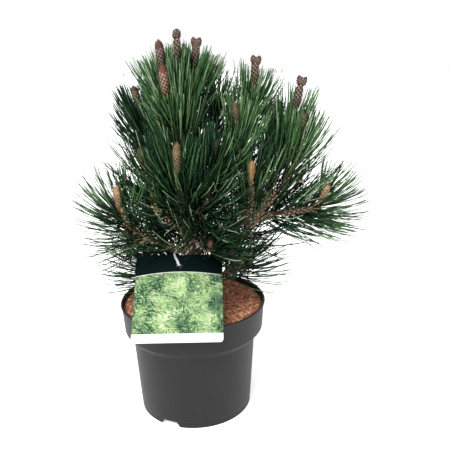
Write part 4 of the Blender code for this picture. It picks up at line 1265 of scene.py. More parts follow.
class PINE_OT_pot(bpy.types.Operator):
    """Turns the nursery pot, with its rolled rim, foot band and drainage notches"""

    bl_idname = "pine.pot"
    bl_label = "Nursery pot"

    # Radii of the drainage channel, and of the wall below its shoulder, on it and above it
    channel, below, shoulder, above = 0.0705, 0.0944, 0.1066, 0.1094
    segments = 144
    sharp_deg = 34.0
    notches = (-25.0, 95.0, 215.0)
    notch_outline = ((-0.01725, -0.002), (0.01725, -0.002), (0.011, 0.0086), (-0.011, 0.0086))
    notch_depth = 0.016
    corner_radius = 0.0012

    def execute(self, context):
        sizes = context.scene.pine_pot
        height, rim, wall, foot = sizes.height, sizes.rim, sizes.wall, sizes.foot
        inside = [
            (0.0, 0.002),
            (self.channel - wall, 0.002),
            (self.channel, 0.0114),
            (foot - 0.0008, 0.0114),
            (self.below - wall, 0.1198),
            (self.shoulder - wall, 0.1336),
            (self.above - wall, height - 0.0008),
            (self.above - wall + 0.0012, height),
        ]
        outside = [
            (rim - 0.0012, height),
            (rim, height - 0.0012),
            (rim, height - 0.0034),
            (self.above, height - 0.0042),
            (self.shoulder, 0.132),
            (0.1046, 0.130),
            (self.below, 0.119),
            (foot + 0.0008, 0.0114),
            (foot + 0.0003, 0.0104),
            (foot, 0.0008),
            (foot - 0.0008, 0.0),
        ]
        underside = [
            (foot - 0.0036, 0.0),
            (foot - 0.0036, 0.0098),
            (self.channel + wall, 0.0098),
            (self.channel, 0.0),
            (0.0, 0.0),
        ]
        profile = rounded(inside + outside + underside, self.corner_radius)
        mesh = turned_mesh("pot_shell", profile, self.segments)
        pot = put("pot_shell", mesh, [pot_finish(sizes)], ["pot"])
        for azimuth_deg in self.notches:
            self.notch(pot, azimuth_deg, foot)
        pot.data.shade_smooth()
        pot.data.set_sharp_from_angle(angle=math.radians(self.sharp_deg))
        return {"FINISHED"}

    def notch(self, pot, azimuth_deg, foot):
        """Cuts one drainage notch through the foot ring."""
        shape = bmesh.new()
        face = shape.faces.new([shape.verts.new((x, 0.0, z)) for x, z in self.notch_outline])
        thickened(shape, [face], (0.0, self.notch_depth, 0.0))
        turn = Matrix.Rotation(math.radians(azimuth_deg), 4, "Z")
        shape.transform(turn @ Matrix.Translation((0.0, -foot - self.notch_depth / 2, 0.0)))
        cutter = bpy.data.objects.new("notch", taken(shape, "notch"))
        bpy.context.scene.collection.objects.link(cutter)
        modifier = pot.modifiers.new("notch", "BOOLEAN")
        modifier.operation = "DIFFERENCE"
        modifier.object = cutter
        bpy.context.view_layer.update()
        graph = bpy.context.evaluated_depsgraph_get()
        pot.data = bpy.data.meshes.new_from_object(pot.evaluated_get(graph))
        pot.modifiers.remove(modifier)
        bpy.data.objects.remove(cutter)


class PINE_OT_bark(bpy.types.Operator):
    """Fills the pot with fine bark and strews chips and fibres over it"""

    bl_idname = "pine.bark"
    bl_label = "Potting bark"

    rings, sides = 46, 150
    # Where the bed ends below, and how far it narrows to there
    underside, base_share = 0.145, 0.98
    # The bed's lumps: height, size and seed
    lumps = ((0.0011, 0.016, 3), (0.0007, 0.006, 4))
    # How far the loose pieces keep off the wall: chips, the fibres' middles and the fibres' ends
    off_wall = (0.004, 0.006, 0.002)
    box_faces = np.array(
        ((0, 1, 3, 2), (4, 6, 7, 5), (0, 4, 5, 1), (2, 3, 7, 6), (0, 2, 6, 4), (1, 5, 7, 3))
    )
    # Chips. area: the shares of the bed's area that they lie in. gamma: the spread of their lengths.
    # widths: for their length. swell: how their thickness grows with their length.
    chip_area = (0.02, 1.0)
    chip_gamma = (4.0, 0.0011)
    chip_lengths = (0.0015, 0.011)
    chip_widths = (0.22, 0.6)
    chip_thickness = (0.0003, 0.0009)
    chip_swell = 0.06
    chip_lift = (-0.0004, 0.0012)
    chip_tip = 0.28
    chip_roll = 0.22
    chip_corners = (0.55, 1.0)
    chip_sharp_deg = 30.0
    # Fibres. widths: their taper, from end to end.
    fibre_area = (0.02, 0.94)
    fibre_lengths = (0.004, 0.018)
    fibre_radii = (0.00018, 0.00045)
    fibre_bend = 1.1
    fibre_lift = (0.0006, 0.0022)
    fibre_tip = 0.0012
    fibre_widths = (0.4, 1.0, 1.0, 1.0, 0.8, 0.3)
    fibre_sides = 4

    def execute(self, context):
        sizes = context.scene.pine_bark
        red, dark, pale = sizes.red, sizes.dark, sizes.pale
        self.put(bed_finish(sizes), "bark_bed", self.bed(sizes))
        for seed, (name, share, base, other) in enumerate((
            ("bark_chips_red", 0.55, red, pale),
            ("bark_chips_dark", 0.25, dark, red),
            ("bark_chips_russet", 0.20, shaded(red, 0.6), red),
        )):
            chips = self.chips(sizes, int(sizes.chips * share), seed)
            piece = self.put(chip_finish(name, base, other), name, chips)
            piece.data.set_sharp_from_angle(angle=math.radians(self.chip_sharp_deg))
        for seed, (name, share, base, other) in enumerate((
            ("bark_fibres_pale", 0.5, pale, red),
            ("bark_fibres_red", 0.5, red, dark),
        )):
            fibres = self.fibres(sizes, int(sizes.fibres * share), seed)
            self.put(chip_finish(name, base, other), name, fibres)
        return {"FINISHED"}

    def put(self, look, name, pile):
        """Puts one of the bark's piles in the pot."""
        return put(name, pile, [look], ["potting_bark"])

    def level(self, sizes, places):
        """The height of the bark's surface below some places."""
        share = np.hypot(places[..., 0], places[..., 1]) / sizes.radius
        flat = places * (1.0, 1.0, 0.0)
        lumps = sum(height * ripple(flat, size, seed) for height, size, seed in self.lumps)
        return sizes.edge + (sizes.crown - sizes.edge) * (1.0 - share ** 2) + lumps

    def bed(self, sizes):
        """The body of fine bark."""
        radius = np.linspace(0.001, 1.0, self.rings)[:, None] * sizes.radius
        places = on_level(radius, turns_of(self.sides))
        places[..., 2] = self.level(sizes, places)
        lower = places[-1:] * (self.base_share, self.base_share, 0.0) + self.underside * UP
        points = np.concatenate((places.reshape(-1, 3), lower.reshape(-1, 3), [self.underside * UP]))
        grid = np.arange((self.rings + 1) * self.sides).reshape(self.rings + 1, self.sides)
        after = np.roll(grid, -1, axis=1)
        quads = np.stack((grid[:-1], grid[1:], after[1:], after[:-1]), axis=-1)
        base = np.stack((grid[-1], np.full(self.sides, len(points) - 1), after[-1]), axis=-1)
        pile = Pile()
        pile.add(points, (quads, grid[0][None], base))
        return pile

    def chips(self, sizes, count, seed):
        """Loose angular pieces of bark, most of them lying flat."""
        rng = np.random.default_rng((seed, 21))
        turn = rng.uniform(0.0, math.tau, count)
        radius = (sizes.radius - self.off_wall[0]) * np.sqrt(rng.uniform(*self.chip_area, count))
        centre = on_level(radius, turn)
        centre[:, 2] = self.level(sizes, centre) + rng.uniform(*self.chip_lift, count)
        length = rng.gamma(*self.chip_gamma, count).clip(*self.chip_lengths)
        width = length * rng.uniform(*self.chip_widths, count)
        thick = rng.uniform(*self.chip_thickness, count) + self.chip_swell * length
        heading = rng.uniform(0.0, math.tau, count)
        ahead = unit(on_level(1.0, heading) + rng.normal(0.0, self.chip_tip, count)[:, None] * UP)
        side = unit(np.cross(UP, ahead) + UP * rng.normal(0.0, self.chip_roll, (count, 1)))
        side = square_to(side, ahead)
        signs = np.array([(a, b, c) for a in (-1, 1) for b in (-1, 1) for c in (-1, 1)], float)
        corners = signs[None] * rng.uniform(*self.chip_corners, (count, 8, 3))
        halves = np.stack((length, width, thick), axis=-1)[:, None] / 2
        points = centre[:, None] + (corners * halves) @ np.stack((ahead, side, np.cross(ahead, side)), 1)
        pile = Pile()
        pile.add_like(points, self.box_faces)
        return pile

    def fibres(self, sizes, count, seed):
        """Loose curved fibres of bark."""
        edge = sizes.radius - self.off_wall[1]
        rng = np.random.default_rng((seed, 22))
        turn = rng.uniform(0.0, math.tau, count)
        centre = on_level(edge * np.sqrt(rng.uniform(*self.fibre_area, count)), turn)
        heading = rng.uniform(0.0, math.tau, count)
        bend = rng.normal(0.0, self.fibre_bend, count)
        length = rng.uniform(*self.fibre_lengths, count)
        steps = np.linspace(-0.5, 0.5, len(self.fibre_widths))
        path = on_level(1.0, heading[:, None] + bend[:, None] * steps).cumsum(axis=1)
        path = (path - path.mean(axis=1, keepdims=True)) * (length / len(steps))[:, None, None]
        path += centre[:, None]
        reach = np.hypot(path[..., 0], path[..., 1]).max(axis=1)
        path = path[reach < sizes.radius - self.off_wall[2]]
        count = len(path)
        lift = rng.uniform(*self.fibre_lift, (count, 1))
        lift = lift + rng.normal(0.0, self.fibre_tip, (count, 1)) * steps
        path[..., 2] = self.level(sizes, path) + lift
        radii = rng.uniform(*self.fibre_radii, (count, 1)) * np.array(self.fibre_widths)
        pile = Pile()
        pile.add(*tubes(path, radii, np.tile(UP, (count, 1)), self.fibre_sides))
        return pile


class PINE_OT_label(bpy.types.Operator):
    """Cuts the plant label with its round hole and prints its face"""

    bl_idname = "pine.label"
    bl_label = "Plant label"

    corner_steps = 8
    hole_sides = 40
    edge_bevel = 0.00025
    edge_from = 1.2
    front_from = 0.9
    sharp_deg = 40.0

    def execute(self, context):
        colours = context.scene.pine_label
        shape = bmesh.new()
        edges = []
        for ring in (self.outline(), ring_of(HOLE_RADIUS, self.hole_sides, (0.0, -HOLE_FROM_TOP))):
            corners = [shape.verts.new((x, y, 0.0)) for x, y in ring]
            edges += [shape.edges.new((a, b)) for a, b in zip(corners, corners[1:] + corners[:1])]
        bmesh.ops.triangle_fill(shape, edges=edges, use_beauty=True, normal=(0.0, 0.0, 1.0))
        bmesh.ops.recalc_face_normals(shape, faces=shape.faces)
        front = list(shape.faces)
        if front[0].normal.z < 0.0:
            bmesh.ops.reverse_faces(shape, faces=front)
        thickened(shape, front, (0.0, 0.0, -CARD_THICKNESS), keep=True)
        rim = [e for e in shape.edges if abs(e.calc_face_angle(0.0)) > self.edge_from]
        bmesh.ops.bevel(shape, geom=rim, offset=self.edge_bevel, segments=2, affect="EDGES")
        face_map = shape.loops.layers.uv.new("card")
        for face in shape.faces:
            face.material_index = 0 if face.normal.z > self.front_from else 1
            for loop in face.loops:
                spot = loop.vert.co
                loop[face_map].uv = (spot.x / CARD_WIDTH + 0.5, -spot.y / CARD_LENGTH)
        shape.transform(card_place())
        mesh = taken(shape, "label_card")
        mesh.shade_smooth()
        mesh.set_sharp_from_angle(angle=math.radians(self.sharp_deg))
        looks = [print_finish(colours), paper_finish(colours)]
        put("label_card", mesh, looks, ["plant_label"])
        return {"FINISHED"}

    def outline(self):
        """The card's outline, square at its top and rounded at its foot."""
        half = CARD_WIDTH / 2
        outline = [(half, 0.0), (-half, 0.0)]
        for x, first_deg in ((-half + CARD_CORNER, 180.0), (half - CARD_CORNER, 270.0)):
            for k in range(self.corner_steps + 1):
                turn = math.radians(first_deg + 90.0 * k / self.corner_steps)
                y = -CARD_LENGTH + CARD_CORNER + CARD_CORNER * math.sin(turn)
                outline.append((x + CARD_CORNER * math.cos(turn), y))
        return outline


class PINE_OT_strap(bpy.types.Operator):
    """Ties the label to the trunk with a clear strap"""

    bl_idname = "pine.strap"
    bl_label = "Clear strap"

    sides = 12

    def execute(self, context):
        path = strap_path(trunk_limb())
        first, second = carried_frames(np.vstack((path, path[:1])))[1:]
        across = np.array(card_place().to_3x3() @ Vector((1.0, 0.0, 0.0)))
        turn = turns_of(self.sides) - math.atan2(across @ second[0], across @ first[0])
        wide = np.exp(-((lengths_along(path) / STRAP_WIDE_LENGTH) ** 2))[:, None]
        wide = STRAP_RADIUS + (STRAP_HALF_WIDTH - STRAP_RADIUS) * wide
        radii = 1.0 / np.hypot(np.cos(turn) / wide, np.sin(turn) / STRAP_RADIUS)
        rings = path[None], radii[None], first[None, :-1], second[None, :-1]
        points, faces = rings_to_tubes(*rings, self.sides)
        pile = Pile()
        pile.add(points, (faces[0], self.closing(points[0])))
        look = strap_finish(context.scene.pine_label)
        put("tie_strap", pile, [look], ["label_strap"])
        return {"FINISHED"}

    def closing(self, rings):
        """The faces from the last ring round to the first, with the least twist between them."""
        sides = np.arange(self.sides)
        gap = np.linalg.norm(rings[-1][:, None] - rings[0], axis=-1)
        shift = np.argmin([gap[sides, (sides + k) % self.sides].sum() for k in sides])
        after = (sides + 1) % self.sides
        last = (len(rings) - 1) * self.sides
        corners = last + sides, last + after, (after + shift) % self.sides, (sides + shift) % self.sides
        return np.stack(corners, axis=-1)


class PINE_OT_limbs(bpy.types.Operator):
    """Grows the trunk and the boughs, with the relief of their scaly bark"""

    bl_idname = "pine.limbs"
    bl_label = "Trunk and boughs"

    trunk_sides, bough_sides = 26, 16
    # How far the bark may stand out, and how it rises: over the whole, in spirals and in lumps
    proud = 0.0006
    rises = (0.97, 0.028, 0.05)
    # The spirals' starts, pitch and height, and the lumps' size and their shift round a limb
    windings = ((5, 760.0, 1.0), (8, -470.0, 1.0))
    lump_size, lump_shift = 0.009, 0.004

    def execute(self, context):
        colours = context.scene.pine_limbs
        pile = Pile()
        for number, (name, limb) in enumerate(all_limbs().items()):
            sides = self.trunk_sides if name == "trunk" else self.bough_sides
            pile.add(*self.barked(limb, sides, number))
        put("limbs", pile, [bark_finish("limb_bark", colours.bark, colours.furrow)], LIMBS)
        return {"FINISHED"}

    def barked(self, limb, sides, seed):
        """A limb with raised scales in spirals, where its first needles stood."""
        first, second = carried_frames(limb.path)[1:]
        lengths = lengths_along(limb.path)[:, None]
        thick = limb.radii[:, None]
        turn = turns_of(sides)
        relief = spirals(self.windings, turn, lengths)
        places = limb.path[:, None] + self.lump_shift * np.cos(turn)[:, None] * UP
        rough = ripple(places, self.lump_size, seed)
        whole, wound, lumpy = self.rises
        radii = np.minimum(thick * (whole + wound * relief + lumpy * rough), thick + self.proud)
        return rings_to_tubes(limb.path[None], radii[None], first[None], second[None], sides)


class PINE_OT_shoots(bpy.types.Operator):
    """Grows the shoots' stems and twigs, with a peg below each pair of needles"""

    bl_idname = "pine.shoots"
    bl_label = "Shoots"

    sides = 10
    ring_step = 0.0022
    # The stem's spiral ridges: their starts, pitch and height
    windings = ((3, 900.0, 0.05), (5, -600.0, 0.04))
    # A peg's root reaches down and up the stem and aside, and its tip stands off the stem, all in
    # shares of the peg's size. sunk: how far out the root lies, as a share of the stem's radius.
    down, up, aside, off, sunk = 1.2, 0.3, 0.7, 0.9, 0.75
    peg_faces = np.array(((0, 2, 3), (0, 3, 1), (1, 3, 2), (0, 1, 2)))

    def execute(self, context):
        colours = context.scene.pine_limbs
        stems, pegs = Pile(), Pile()
        limbs = all_limbs()
        for shoot in all_shoots(limbs):
            for twig in shoot.twigs:
                stems.add(*self.stem(twig))
                size = by_height(PEG_SIZE, twig.path[-1, 2])
                pegs.add_like(self.pegs(twig, PEG_SPACING, size), self.peg_faces)
        for row in ROWS:
            bough = Twig(*limbs["bough_" + row.name], BOUGH_PEGS_FROM, 1.0, 0.0)
            pegs.add_like(self.pegs(bough, BOUGH_PEG_SPACING, BOUGH_PEG_SIZE), self.peg_faces)
        # The young stems' dark tones are partly painted shade in the gaps between the pale pegs
        young = bark_finish("shoot_bark", colours.stem, colours.stem_furrow)
        pale = bark_finish("stub_bark", colours.peg, shaded(colours.peg, 0.5))
        put("shoot_stems", stems, [young], MASSES)
        put("needle_pegs", pegs, [pale], MASSES)
        return {"FINISHED"}

    def stem(self, twig):
        """A young stem, ridged in spirals."""
        path = spaced(twig.path, self.ring_step)
        first, second = carried_frames(path)[1:]
        lengths = lengths_along(path)[:, None]
        turn = turns_of(self.sides)
        radii = spread_over(twig.radii, np.linspace(0.0, 1.0, len(path)))[:, None]
        relief = spirals(self.windings, turn, lengths, 1.0)
        return rings_to_tubes(path[None], (radii * relief)[None], first[None], second[None], self.sides)

    def pegs(self, twig, spacing, size):
        """Corners of small wedges that stand off a stem and point up it."""
        places, ways, outward, share = needle_places(twig, spacing)
        radii = spread_over(twig.radii, twig.first + (twig.last - twig.first) * share)
        side = np.cross(ways, outward) * size
        ahead = ways * size
        root = places + outward * (radii * self.sunk)[:, None]
        left = root - side * self.aside + ahead * self.up
        right = root + side * self.aside + ahead * self.up
        tip = places + outward * (radii + self.off * size)[:, None] + ahead
        return np.stack((root - ahead * self.down, left, right, tip), axis=1)


def needle_places(twig, spacing):
    """Where a twig bears needles: places, ways up it, outward directions and shares of the way up."""
    ways, first, second = carried_frames(twig.path)
    lengths = lengths_along(twig.path)
    count = max(1, int(lengths[-1] * (twig.last - twig.first) / spacing))
    up = ((np.arange(count) + 0.5) / count) ** twig.crowd
    share = twig.first + (twig.last - twig.first) * up
    k = np.searchsorted(lengths, share * lengths[-1]).clip(0, len(ways) - 1)
    turn = (np.arange(count) * GOLDEN_TURN + lengths[-1] * 1000.0)[:, None]
    outward = np.cos(turn) * first[k] + np.sin(turn) * second[k]
    return along(twig.path, share), ways[k], outward, up


class PINE_OT_candles(bpy.types.Operator):
    """Builds the candles, each wrapped in spirals of papery bud scales"""

    bl_idname = "pine.candles"
    bl_label = "Candles"

    # Body, head and scale margins of each hue
    hues = {
        "umber": ((0.020, 0.009, 0.006), (0.060, 0.023, 0.018), (0.29, 0.215, 0.155)),
        "salmon": ((0.048, 0.015, 0.009), (0.098, 0.034, 0.018), (0.45, 0.31, 0.22)),
        "olive": ((0.050, 0.042, 0.015), (0.085, 0.060, 0.026), (0.17, 0.16, 0.08)),
        "bronze": ((0.060, 0.046, 0.018), (0.150, 0.092, 0.040), (0.34, 0.27, 0.15)),
        "orange": ((0.42, 0.180, 0.060), (0.58, 0.290, 0.110), (0.66, 0.46, 0.24)),
        "tan": ((0.240, 0.130, 0.062), (0.42, 0.250, 0.125), (0.58, 0.44, 0.28)),
        "russet": ((0.110, 0.048, 0.026), (0.200, 0.088, 0.050), (0.38, 0.25, 0.15)),
    }
    rings, sides = 16, 14

    def execute(self, context):
        piles = {hue: Pile() for hue in self.hues}
        for shoot in all_shoots(all_limbs()):
            for candle in shoot.candles:
                self.candle(piles[candle.hue], candle)
        for hue, pile in piles.items():
            parts = zip(("body", "head", "margin"), self.hues[hue])
            looks = [scale_finish(f"candle_{hue}_{part}", colour) for part, colour in parts]
            put("candles_" + hue, pile, looks, MASSES)
        return {"FINISHED"}

    def candle(self, pile, candle):
        """One candle, or its body and the buds that share its head."""
        way, length, radius = candle.way, candle.length, candle.radius
        foot = candle.foot - way * radius / 3
        if candle.buds == 1:
            profile = SHORT if length < SHORT_CANDLE else LONG
            self.scaly(pile, foot, way, length + radius / 3, radius, profile)
            return
        head = HEADS[candle.buds]
        self.scaly(pile, foot, way, length - FORKED_SHORTER, radius * head.stout, FORKED)
        start = candle.foot + (length - NECK) * way
        if candle.buds == 3:
            long, wide = MIDDLE_BUD
            self.scaly(pile, start, way, BUD_LENGTH * long, radius * wide, BUD)
        start = start - head.drop * way
        first = unit(np.cross(way, (0.0, 1.0, 0.0)))
        second = np.cross(way, first)
        lean = math.radians(BUD_LEAN_DEG)
        wide = radius * BUD_RADIUS_SHARE * head.wide
        for k in range(candle.buds):
            turn = math.tau * k / candle.buds + head.turn
            outward = math.cos(turn) * first + math.sin(turn) * second
            aside = math.cos(lean) * way + math.sin(lean) * outward
            self.scaly(pile, start, aside, BUD_LENGTH * head.long, wide, BUD)

    def scaly(self, pile, foot, way, length, radius, profile):
        """A round body under spirals of scales. The scales above a share of it are the head's."""
        shares, widths, head_from = profile
        first = unit(np.cross(way, (0.31, 0.87, 0.38)))
        second = np.cross(way, first)
        rings = np.linspace(0.0, 1.0, self.rings)
        width = np.interp(rings, shares, widths) * radius * BODY_WIDTH
        path = foot + np.outer(rings * length, way)
        split = int(self.rings * head_from)
        for finish, some in ((0, slice(0, split + 1)), (1, slice(split, self.rings))):
            if split or finish:
                body = path[None, some], width[None, some, None], first[None, None], second[None, None]
                pile.add(*rings_to_tubes(*body, self.sides), finish)
        cell = SCALE_CELLS[0] if length > SMALL_BODY else SCALE_CELLS[1]
        rise = cell * cell * SCALE_OVERLAP / 2 / (math.tau * radius)
        count = max(LEAST_SCALES, int(length * SCALED_SHARE / rise))
        share = (np.arange(count) + 0.5) / count
        turn = (np.arange(count) * GOLDEN_TURN)[:, None]
        outward = np.cos(turn) * first + np.sin(turn) * second
        aside = np.cross(way, outward)
        girth = np.interp(share, shares, widths) * radius
        before, after = (np.interp(share + step, shares, widths) for step in (-SLOPE_STEP, SLOPE_STEP))
        slope = (after - before) * radius / (2 * SLOPE_STEP * length)
        left = length * (SCALES_END - share) + LEAST_SCALE_HEIGHT
        tall = np.minimum(cell * SCALE_HEIGHT, left)
        wide = cell * SCALE_WIDTH * np.clip(girth / radius, NARROWEST_SCALE, 1.0)

        def at(up, across, out):
            """One corner of every scale."""
            around = (across * wide / np.maximum(girth, LEAST_GIRTH))[:, None]
            facing = np.cos(around) * outward + np.sin(around) * aside
            raised = (girth * BODY_WIDTH + slope * up * tall + out)[:, None]
            return foot + (share * length + up * tall)[:, None] * way + raised * facing

        scales = np.stack([at(*corner) for corner in SCALE], axis=1)
        margins = np.stack([at(*corner) for corner in MARGIN], axis=1)
        head = share > head_from
        pile.add_like(scales[~head], SCALE_FACES, 0)
        pile.add_like(scales[head], SCALE_FACES, 1)
        trimmed = share < max(head_from, MARGINS_UP_TO) + MARGINS_ON_HEAD
        pile.add_like(margins[trimmed], MARGIN_FACES, 2)


class PINE_OT_needles(bpy.types.Operator):
    """Grows the needles in pairs from their sheaths, each green in its own pieces"""

    bl_idname = "pine.needles"
    bl_label = "Needles"

    tones = ("deep", "dark", "middle", "fresh", "pale")
    crowding = 0.16
    cuts = (1.0, 0.72, 0.5)
    steps, sides = len(NEEDLE_WIDTHS), 3
    # Which green a needle gets: the middle of the deal, its shift by freshness and by lighting, as
    # painted light and shade, and its spread
    deal_mark = (0.50, 2.0, 1.15)
    # The share of needles dealt the pale grey green, growing on lit shoots: bloom, and painted highlights
    bloom_and_glint_share = (0.05, 0.12)

    def execute(self, context):
        sizes = context.scene.pine_needles
        limbs = all_limbs()
        shoots = {shoot.name.removeprefix("needles_"): shoot for shoot in all_shoots(limbs)}
        solids = stretches(limbs.values())
        candles = [candle_line(c) for shoot in shoots.values() for c in shoot.candles]
        candles = stretches(candles, CANDLE_STRETCH)
        fronts = [(bare_stretch(limbs[name], *ends), 0.0) for name, *ends in SHOWN_BOUGHS]
        fronts += [(bare_stretch(shoots[name].twigs[0], *ends), 0.0) for name, *ends in SHOWN_SHOOTS]
        for name, shoot in shoots.items():
            free_from = SHOWN_FROM.get(name, 1.0)
            fronts += [(c, free_from) for c in shoot.candles if c.length > BUD_ON_TWIG]
        greens = {tone: [] for tone in self.tones}
        sheaths = []
        for number, shoot in enumerate([*shoots.values(), *old_wood(limbs)]):
            rng = np.random.default_rng((number, 31))
            paths, normals = self.grown(shoot, sizes, rng)
            others = [line for other in shoots.values() if other is not shoot for line in twig_lines(other)]
            paths, kept = self.cut_short(paths, fronts)
            kept &= self.fitting(paths, stretches(twig_lines(shoot)), stretches(others), solids, candles)
            paths, normals = paths[kept], normals[kept]
            self.deal(greens, shoot, paths, normals, rng)
            sheaths.append((paths, normals))
        for tone in self.tones:
            self.needle_pieces(tone, greens[tone], sizes)
        self.sheath_piece(sheaths, context.scene.pine_limbs)
        return {"FINISHED"}

    def grown(self, shoot, sizes, rng):
        """The curves of a shoot's needles, in pairs, with a direction square to each."""
        paths, normals = [], []
        for twig in shoot.twigs:
            places, ways, outward, up = needle_places(twig, sizes.spacing * shoot.open)
            side = np.cross(ways, outward)
            count = len(places)
            full = sizes.length * (1.0 if twig is shoot.twigs[0] else TWIG_LENGTH_SHARE)
            opening = np.radians(twig.spread * (1.0 - (1.0 - twig.tip) * up))
            girth = np.interp(up, (0.0, 1.0), twig.radii[[0, -1]])
            below = (1.0 - twig.first - (twig.last - twig.first) * up) * lengths_along(twig.path)[-1]
            for turn in (-1.0, 1.0):
                length = full * rng.normal(*LENGTH_VARIES, count).clip(*LENGTH_ENDS)
                length = length * (1.0 + LENGTHEN_DOWN * (0.5 - up))
                lean = opening + np.radians(rng.normal(0.0, LEAN_VARIES_DEG, count) + turn * PAIR_LEAN_DEG)
                rise = (twig.top + below) * rng.normal(1.0, RISE_VARIES, count) / np.cos(lean)
                length = np.maximum(np.minimum(length, rise), LEAST_NEEDLE)
                bend = np.radians(rng.normal(shoot.incurve, BEND_VARIES_DEG, count))
                sweep = np.radians(rng.normal(0.0, SWEEP_VARIES_DEG, count) + turn * PAIR_SWEEP_DEG)
                path = [places + outward * girth[:, None] * ROOTED_AT]
                for t in (np.arange(self.steps - 1) + 0.5) / (self.steps - 1):
                    angle = (lean + bend * (0.5 - t))[:, None]
                    aim = np.cos(angle) * ways + np.sin(angle) * outward
                    aim = aim + np.maximum(LOWEST_AIM - aim[:, 2:], 0.0) * shoot.lift * UP
                    swept = side * (sweep * (SWEEP_FROM + t))[:, None]
                    aim = aim + swept - UP * shoot.droop * t * t
                    path.append(path[-1] + unit(aim) * (length / (self.steps - 1))[:, None])
                paths.append(np.stack(path, axis=1))
                roll = rng.uniform(0.0, math.tau, (count, 1))
                across = unit(np.cross(path[-1] - path[0], side))
                normals.append(np.cos(roll) * side + np.sin(roll) * across)
        return np.concatenate(paths), np.concatenate(normals)

    def cut_short(self, paths, fronts):
        """Shortens the needles that hide what stands free on the front, and says which then don't."""
        clear = np.zeros(len(paths), dtype=bool)
        done = paths.copy()
        for cut in self.cuts:
            tried = paths[:, :1] + (paths - paths[:, :1]) * cut
            hides = np.zeros(len(paths), dtype=bool)
            for candle, free_from in fronts:
                covers = before_candle(tried[:, 1:].reshape(-1, 3), candle, free_from)
                hides |= covers.reshape(len(paths), -1).any(axis=1)
            some = ~clear & ~hides
            done[some] = tried[some]
            clear |= some
        return done, clear

    def fitting(self, paths, own, others, limbs, candles):
        """Which needles keep off limbs, candles, label and pot, and out of other shoots' hearts."""
        some = paths[:, 1:].reshape(-1, 3)
        room = gaps_to(some, others) - np.maximum(gaps_to(some, own), 0.0) * self.crowding
        over_pot = np.hypot(some[:, 0], some[:, 1]) < POT_HIGH[0] + BESIDE_RIM
        floor = np.where(over_pot, POT_HIGH[2] + OVER_RIM, OVER_FLOOR)
        fits = (some[:, 2] > floor) & (room > OFF_SHOOTS)
        fits &= (gaps_to(some, limbs) > OFF_LIMBS) & (gaps_to(some, candles) > OFF_CANDLES)
        fits &= (card_gaps(some) > OFF_CARD) & ~before_card(some) & ~before_bark(some)
        return fits.reshape(len(paths), -1).all(axis=1)

    def deal(self, greens, shoot, paths, normals, rng):
        """Deals a shoot's needles to the greens, by its freshness, by its lighting as painted light and
        shade, and by chance.
        """
        middle, by_fresh_and_lit, spread = self.deal_mark
        mark = middle + shoot.fresh * by_fresh_and_lit + rng.normal(0.0, spread, len(paths))
        tone = mark.round().astype(int).clip(0, 3)
        tone[rng.uniform(size=len(paths)) < self.bloom_and_glint_share[0] + self.bloom_and_glint_share[1] * shoot.fresh] = 4
        for k, name in enumerate(self.tones):
            greens[name].append((paths[tone == k], normals[tone == k]))

    def needle_pieces(self, tone, groups, sizes):
        """The needles of one green, each with its foot half in a darker copy as painted shade, in as many
        pieces as they need.
        """
        paths, normals = (np.concatenate(parts) for parts in zip(*groups))
        green = tuple(getattr(sizes, tone))
        # The first look is a darker copy of the green: painted shade on the foot half of each needle
        looks = [
            needle_finish(f"needle_{tone}_foot", shaded(green, sizes.shaded)),
            needle_finish("needle_" + tone, green),
        ]
        most = MOST_TRIANGLES // (2 * self.sides * (self.steps - 1) + 2 * (self.sides - 2))
        profile = np.array(NEEDLE_WIDTHS) * sizes.radius
        count = math.ceil(len(paths) / most)
        for k, some in enumerate(np.array_split(np.arange(len(paths)), count)):
            radii = np.tile(profile, (len(some), 1))
            points, (quads, foot, head) = tubes(paths[some], radii, normals[some], self.sides)
            pile = Pile()
            # Foot halves and foot caps take the painted-shade copy; head halves and tips the green itself
            pile.add(points, (quads[:, :2], quads[:, 2:], foot, head), (0, 1, 0, 1))
            put(f"pine_{tone}_{k + 1}", pile, looks, MASSES)

    def sheath_piece(self, groups, colours):
        """The brown sleeves at the feet of the needles."""
        paths, normals = (np.concatenate(parts) for parts in zip(*groups))
        start, way = paths[:, 0], unit(paths[:, 1] - paths[:, 0])
        sleeve = np.stack((start, start + way * SHEATH_LENGTH), axis=1)
        pile = Pile()
        pile.add(*tubes(sleeve, np.tile(SHEATH_RADII, (len(paths), 1)), normals, self.sides))
        put("needle_sheaths", pile, [sheath_finish(colours.sheath)], MASSES)


class PINE_PT_panel(bpy.types.Panel):
    """The potted pine's sizes, colours and pieces"""

    bl_label = "Potted Pine"
    bl_idname = "PINE_PT_panel"
    bl_space_type = "VIEW_3D"
    bl_region_type = "UI"
    bl_category = "Potted Pine"

    def draw(self, context):
        for name, group in GROUPS.items():
            box = self.layout.box()
            box.label(text=group.__doc__)
            for key in group.__annotations__:
                box.prop(getattr(context.scene, name), key)
        for operator in PIECES:
            self.layout.operator(operator.bl_idname)


GROUPS = {
    "pine_pot": PotSizes,
    "pine_bark": BarkSizes,
    "pine_label": LabelColours,
    "pine_limbs": LimbColours,
    "pine_needles": NeedleSizes,
    "pine_stage": StageSizes,
}
PIECES = (
    PINE_OT_stage,
    PINE_OT_pot,
    PINE_OT_bark,
    PINE_OT_label,
    PINE_OT_strap,
    PINE_OT_limbs,
    PINE_OT_shoots,
    PINE_OT_candles,
    PINE_OT_needles,
)


def register():
    for made in (*GROUPS.values(), *PIECES, PINE_PT_panel):
        bpy.utils.register_class(made)
    for name, group in GROUPS.items():
        setattr(bpy.types.Scene, name, PointerProperty(type=group))


def unregister():
    for name in GROUPS:
        delattr(bpy.types.Scene, name)
    for made in reversed((*GROUPS.values(), *PIECES, PINE_PT_panel)):
        bpy.utils.unregister_class(made)


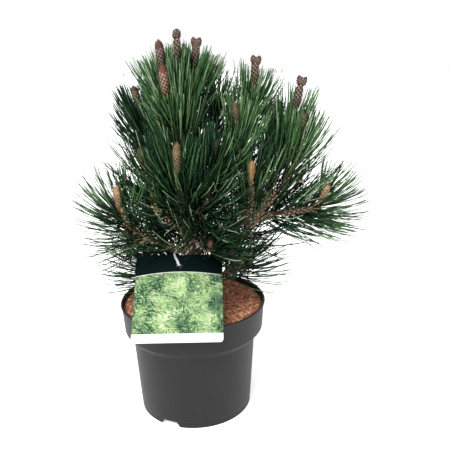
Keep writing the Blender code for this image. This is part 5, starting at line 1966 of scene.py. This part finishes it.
def main():
    register()
    bpy.ops.pine.stage()
    bpy.ops.pine.pot()
    bpy.ops.pine.bark()
    bpy.ops.pine.label()
    bpy.ops.pine.strap()
    bpy.ops.pine.limbs()
    bpy.ops.pine.shoots()
    bpy.ops.pine.candles()
    bpy.ops.pine.needles()


if __name__ == "__main__":
    main()
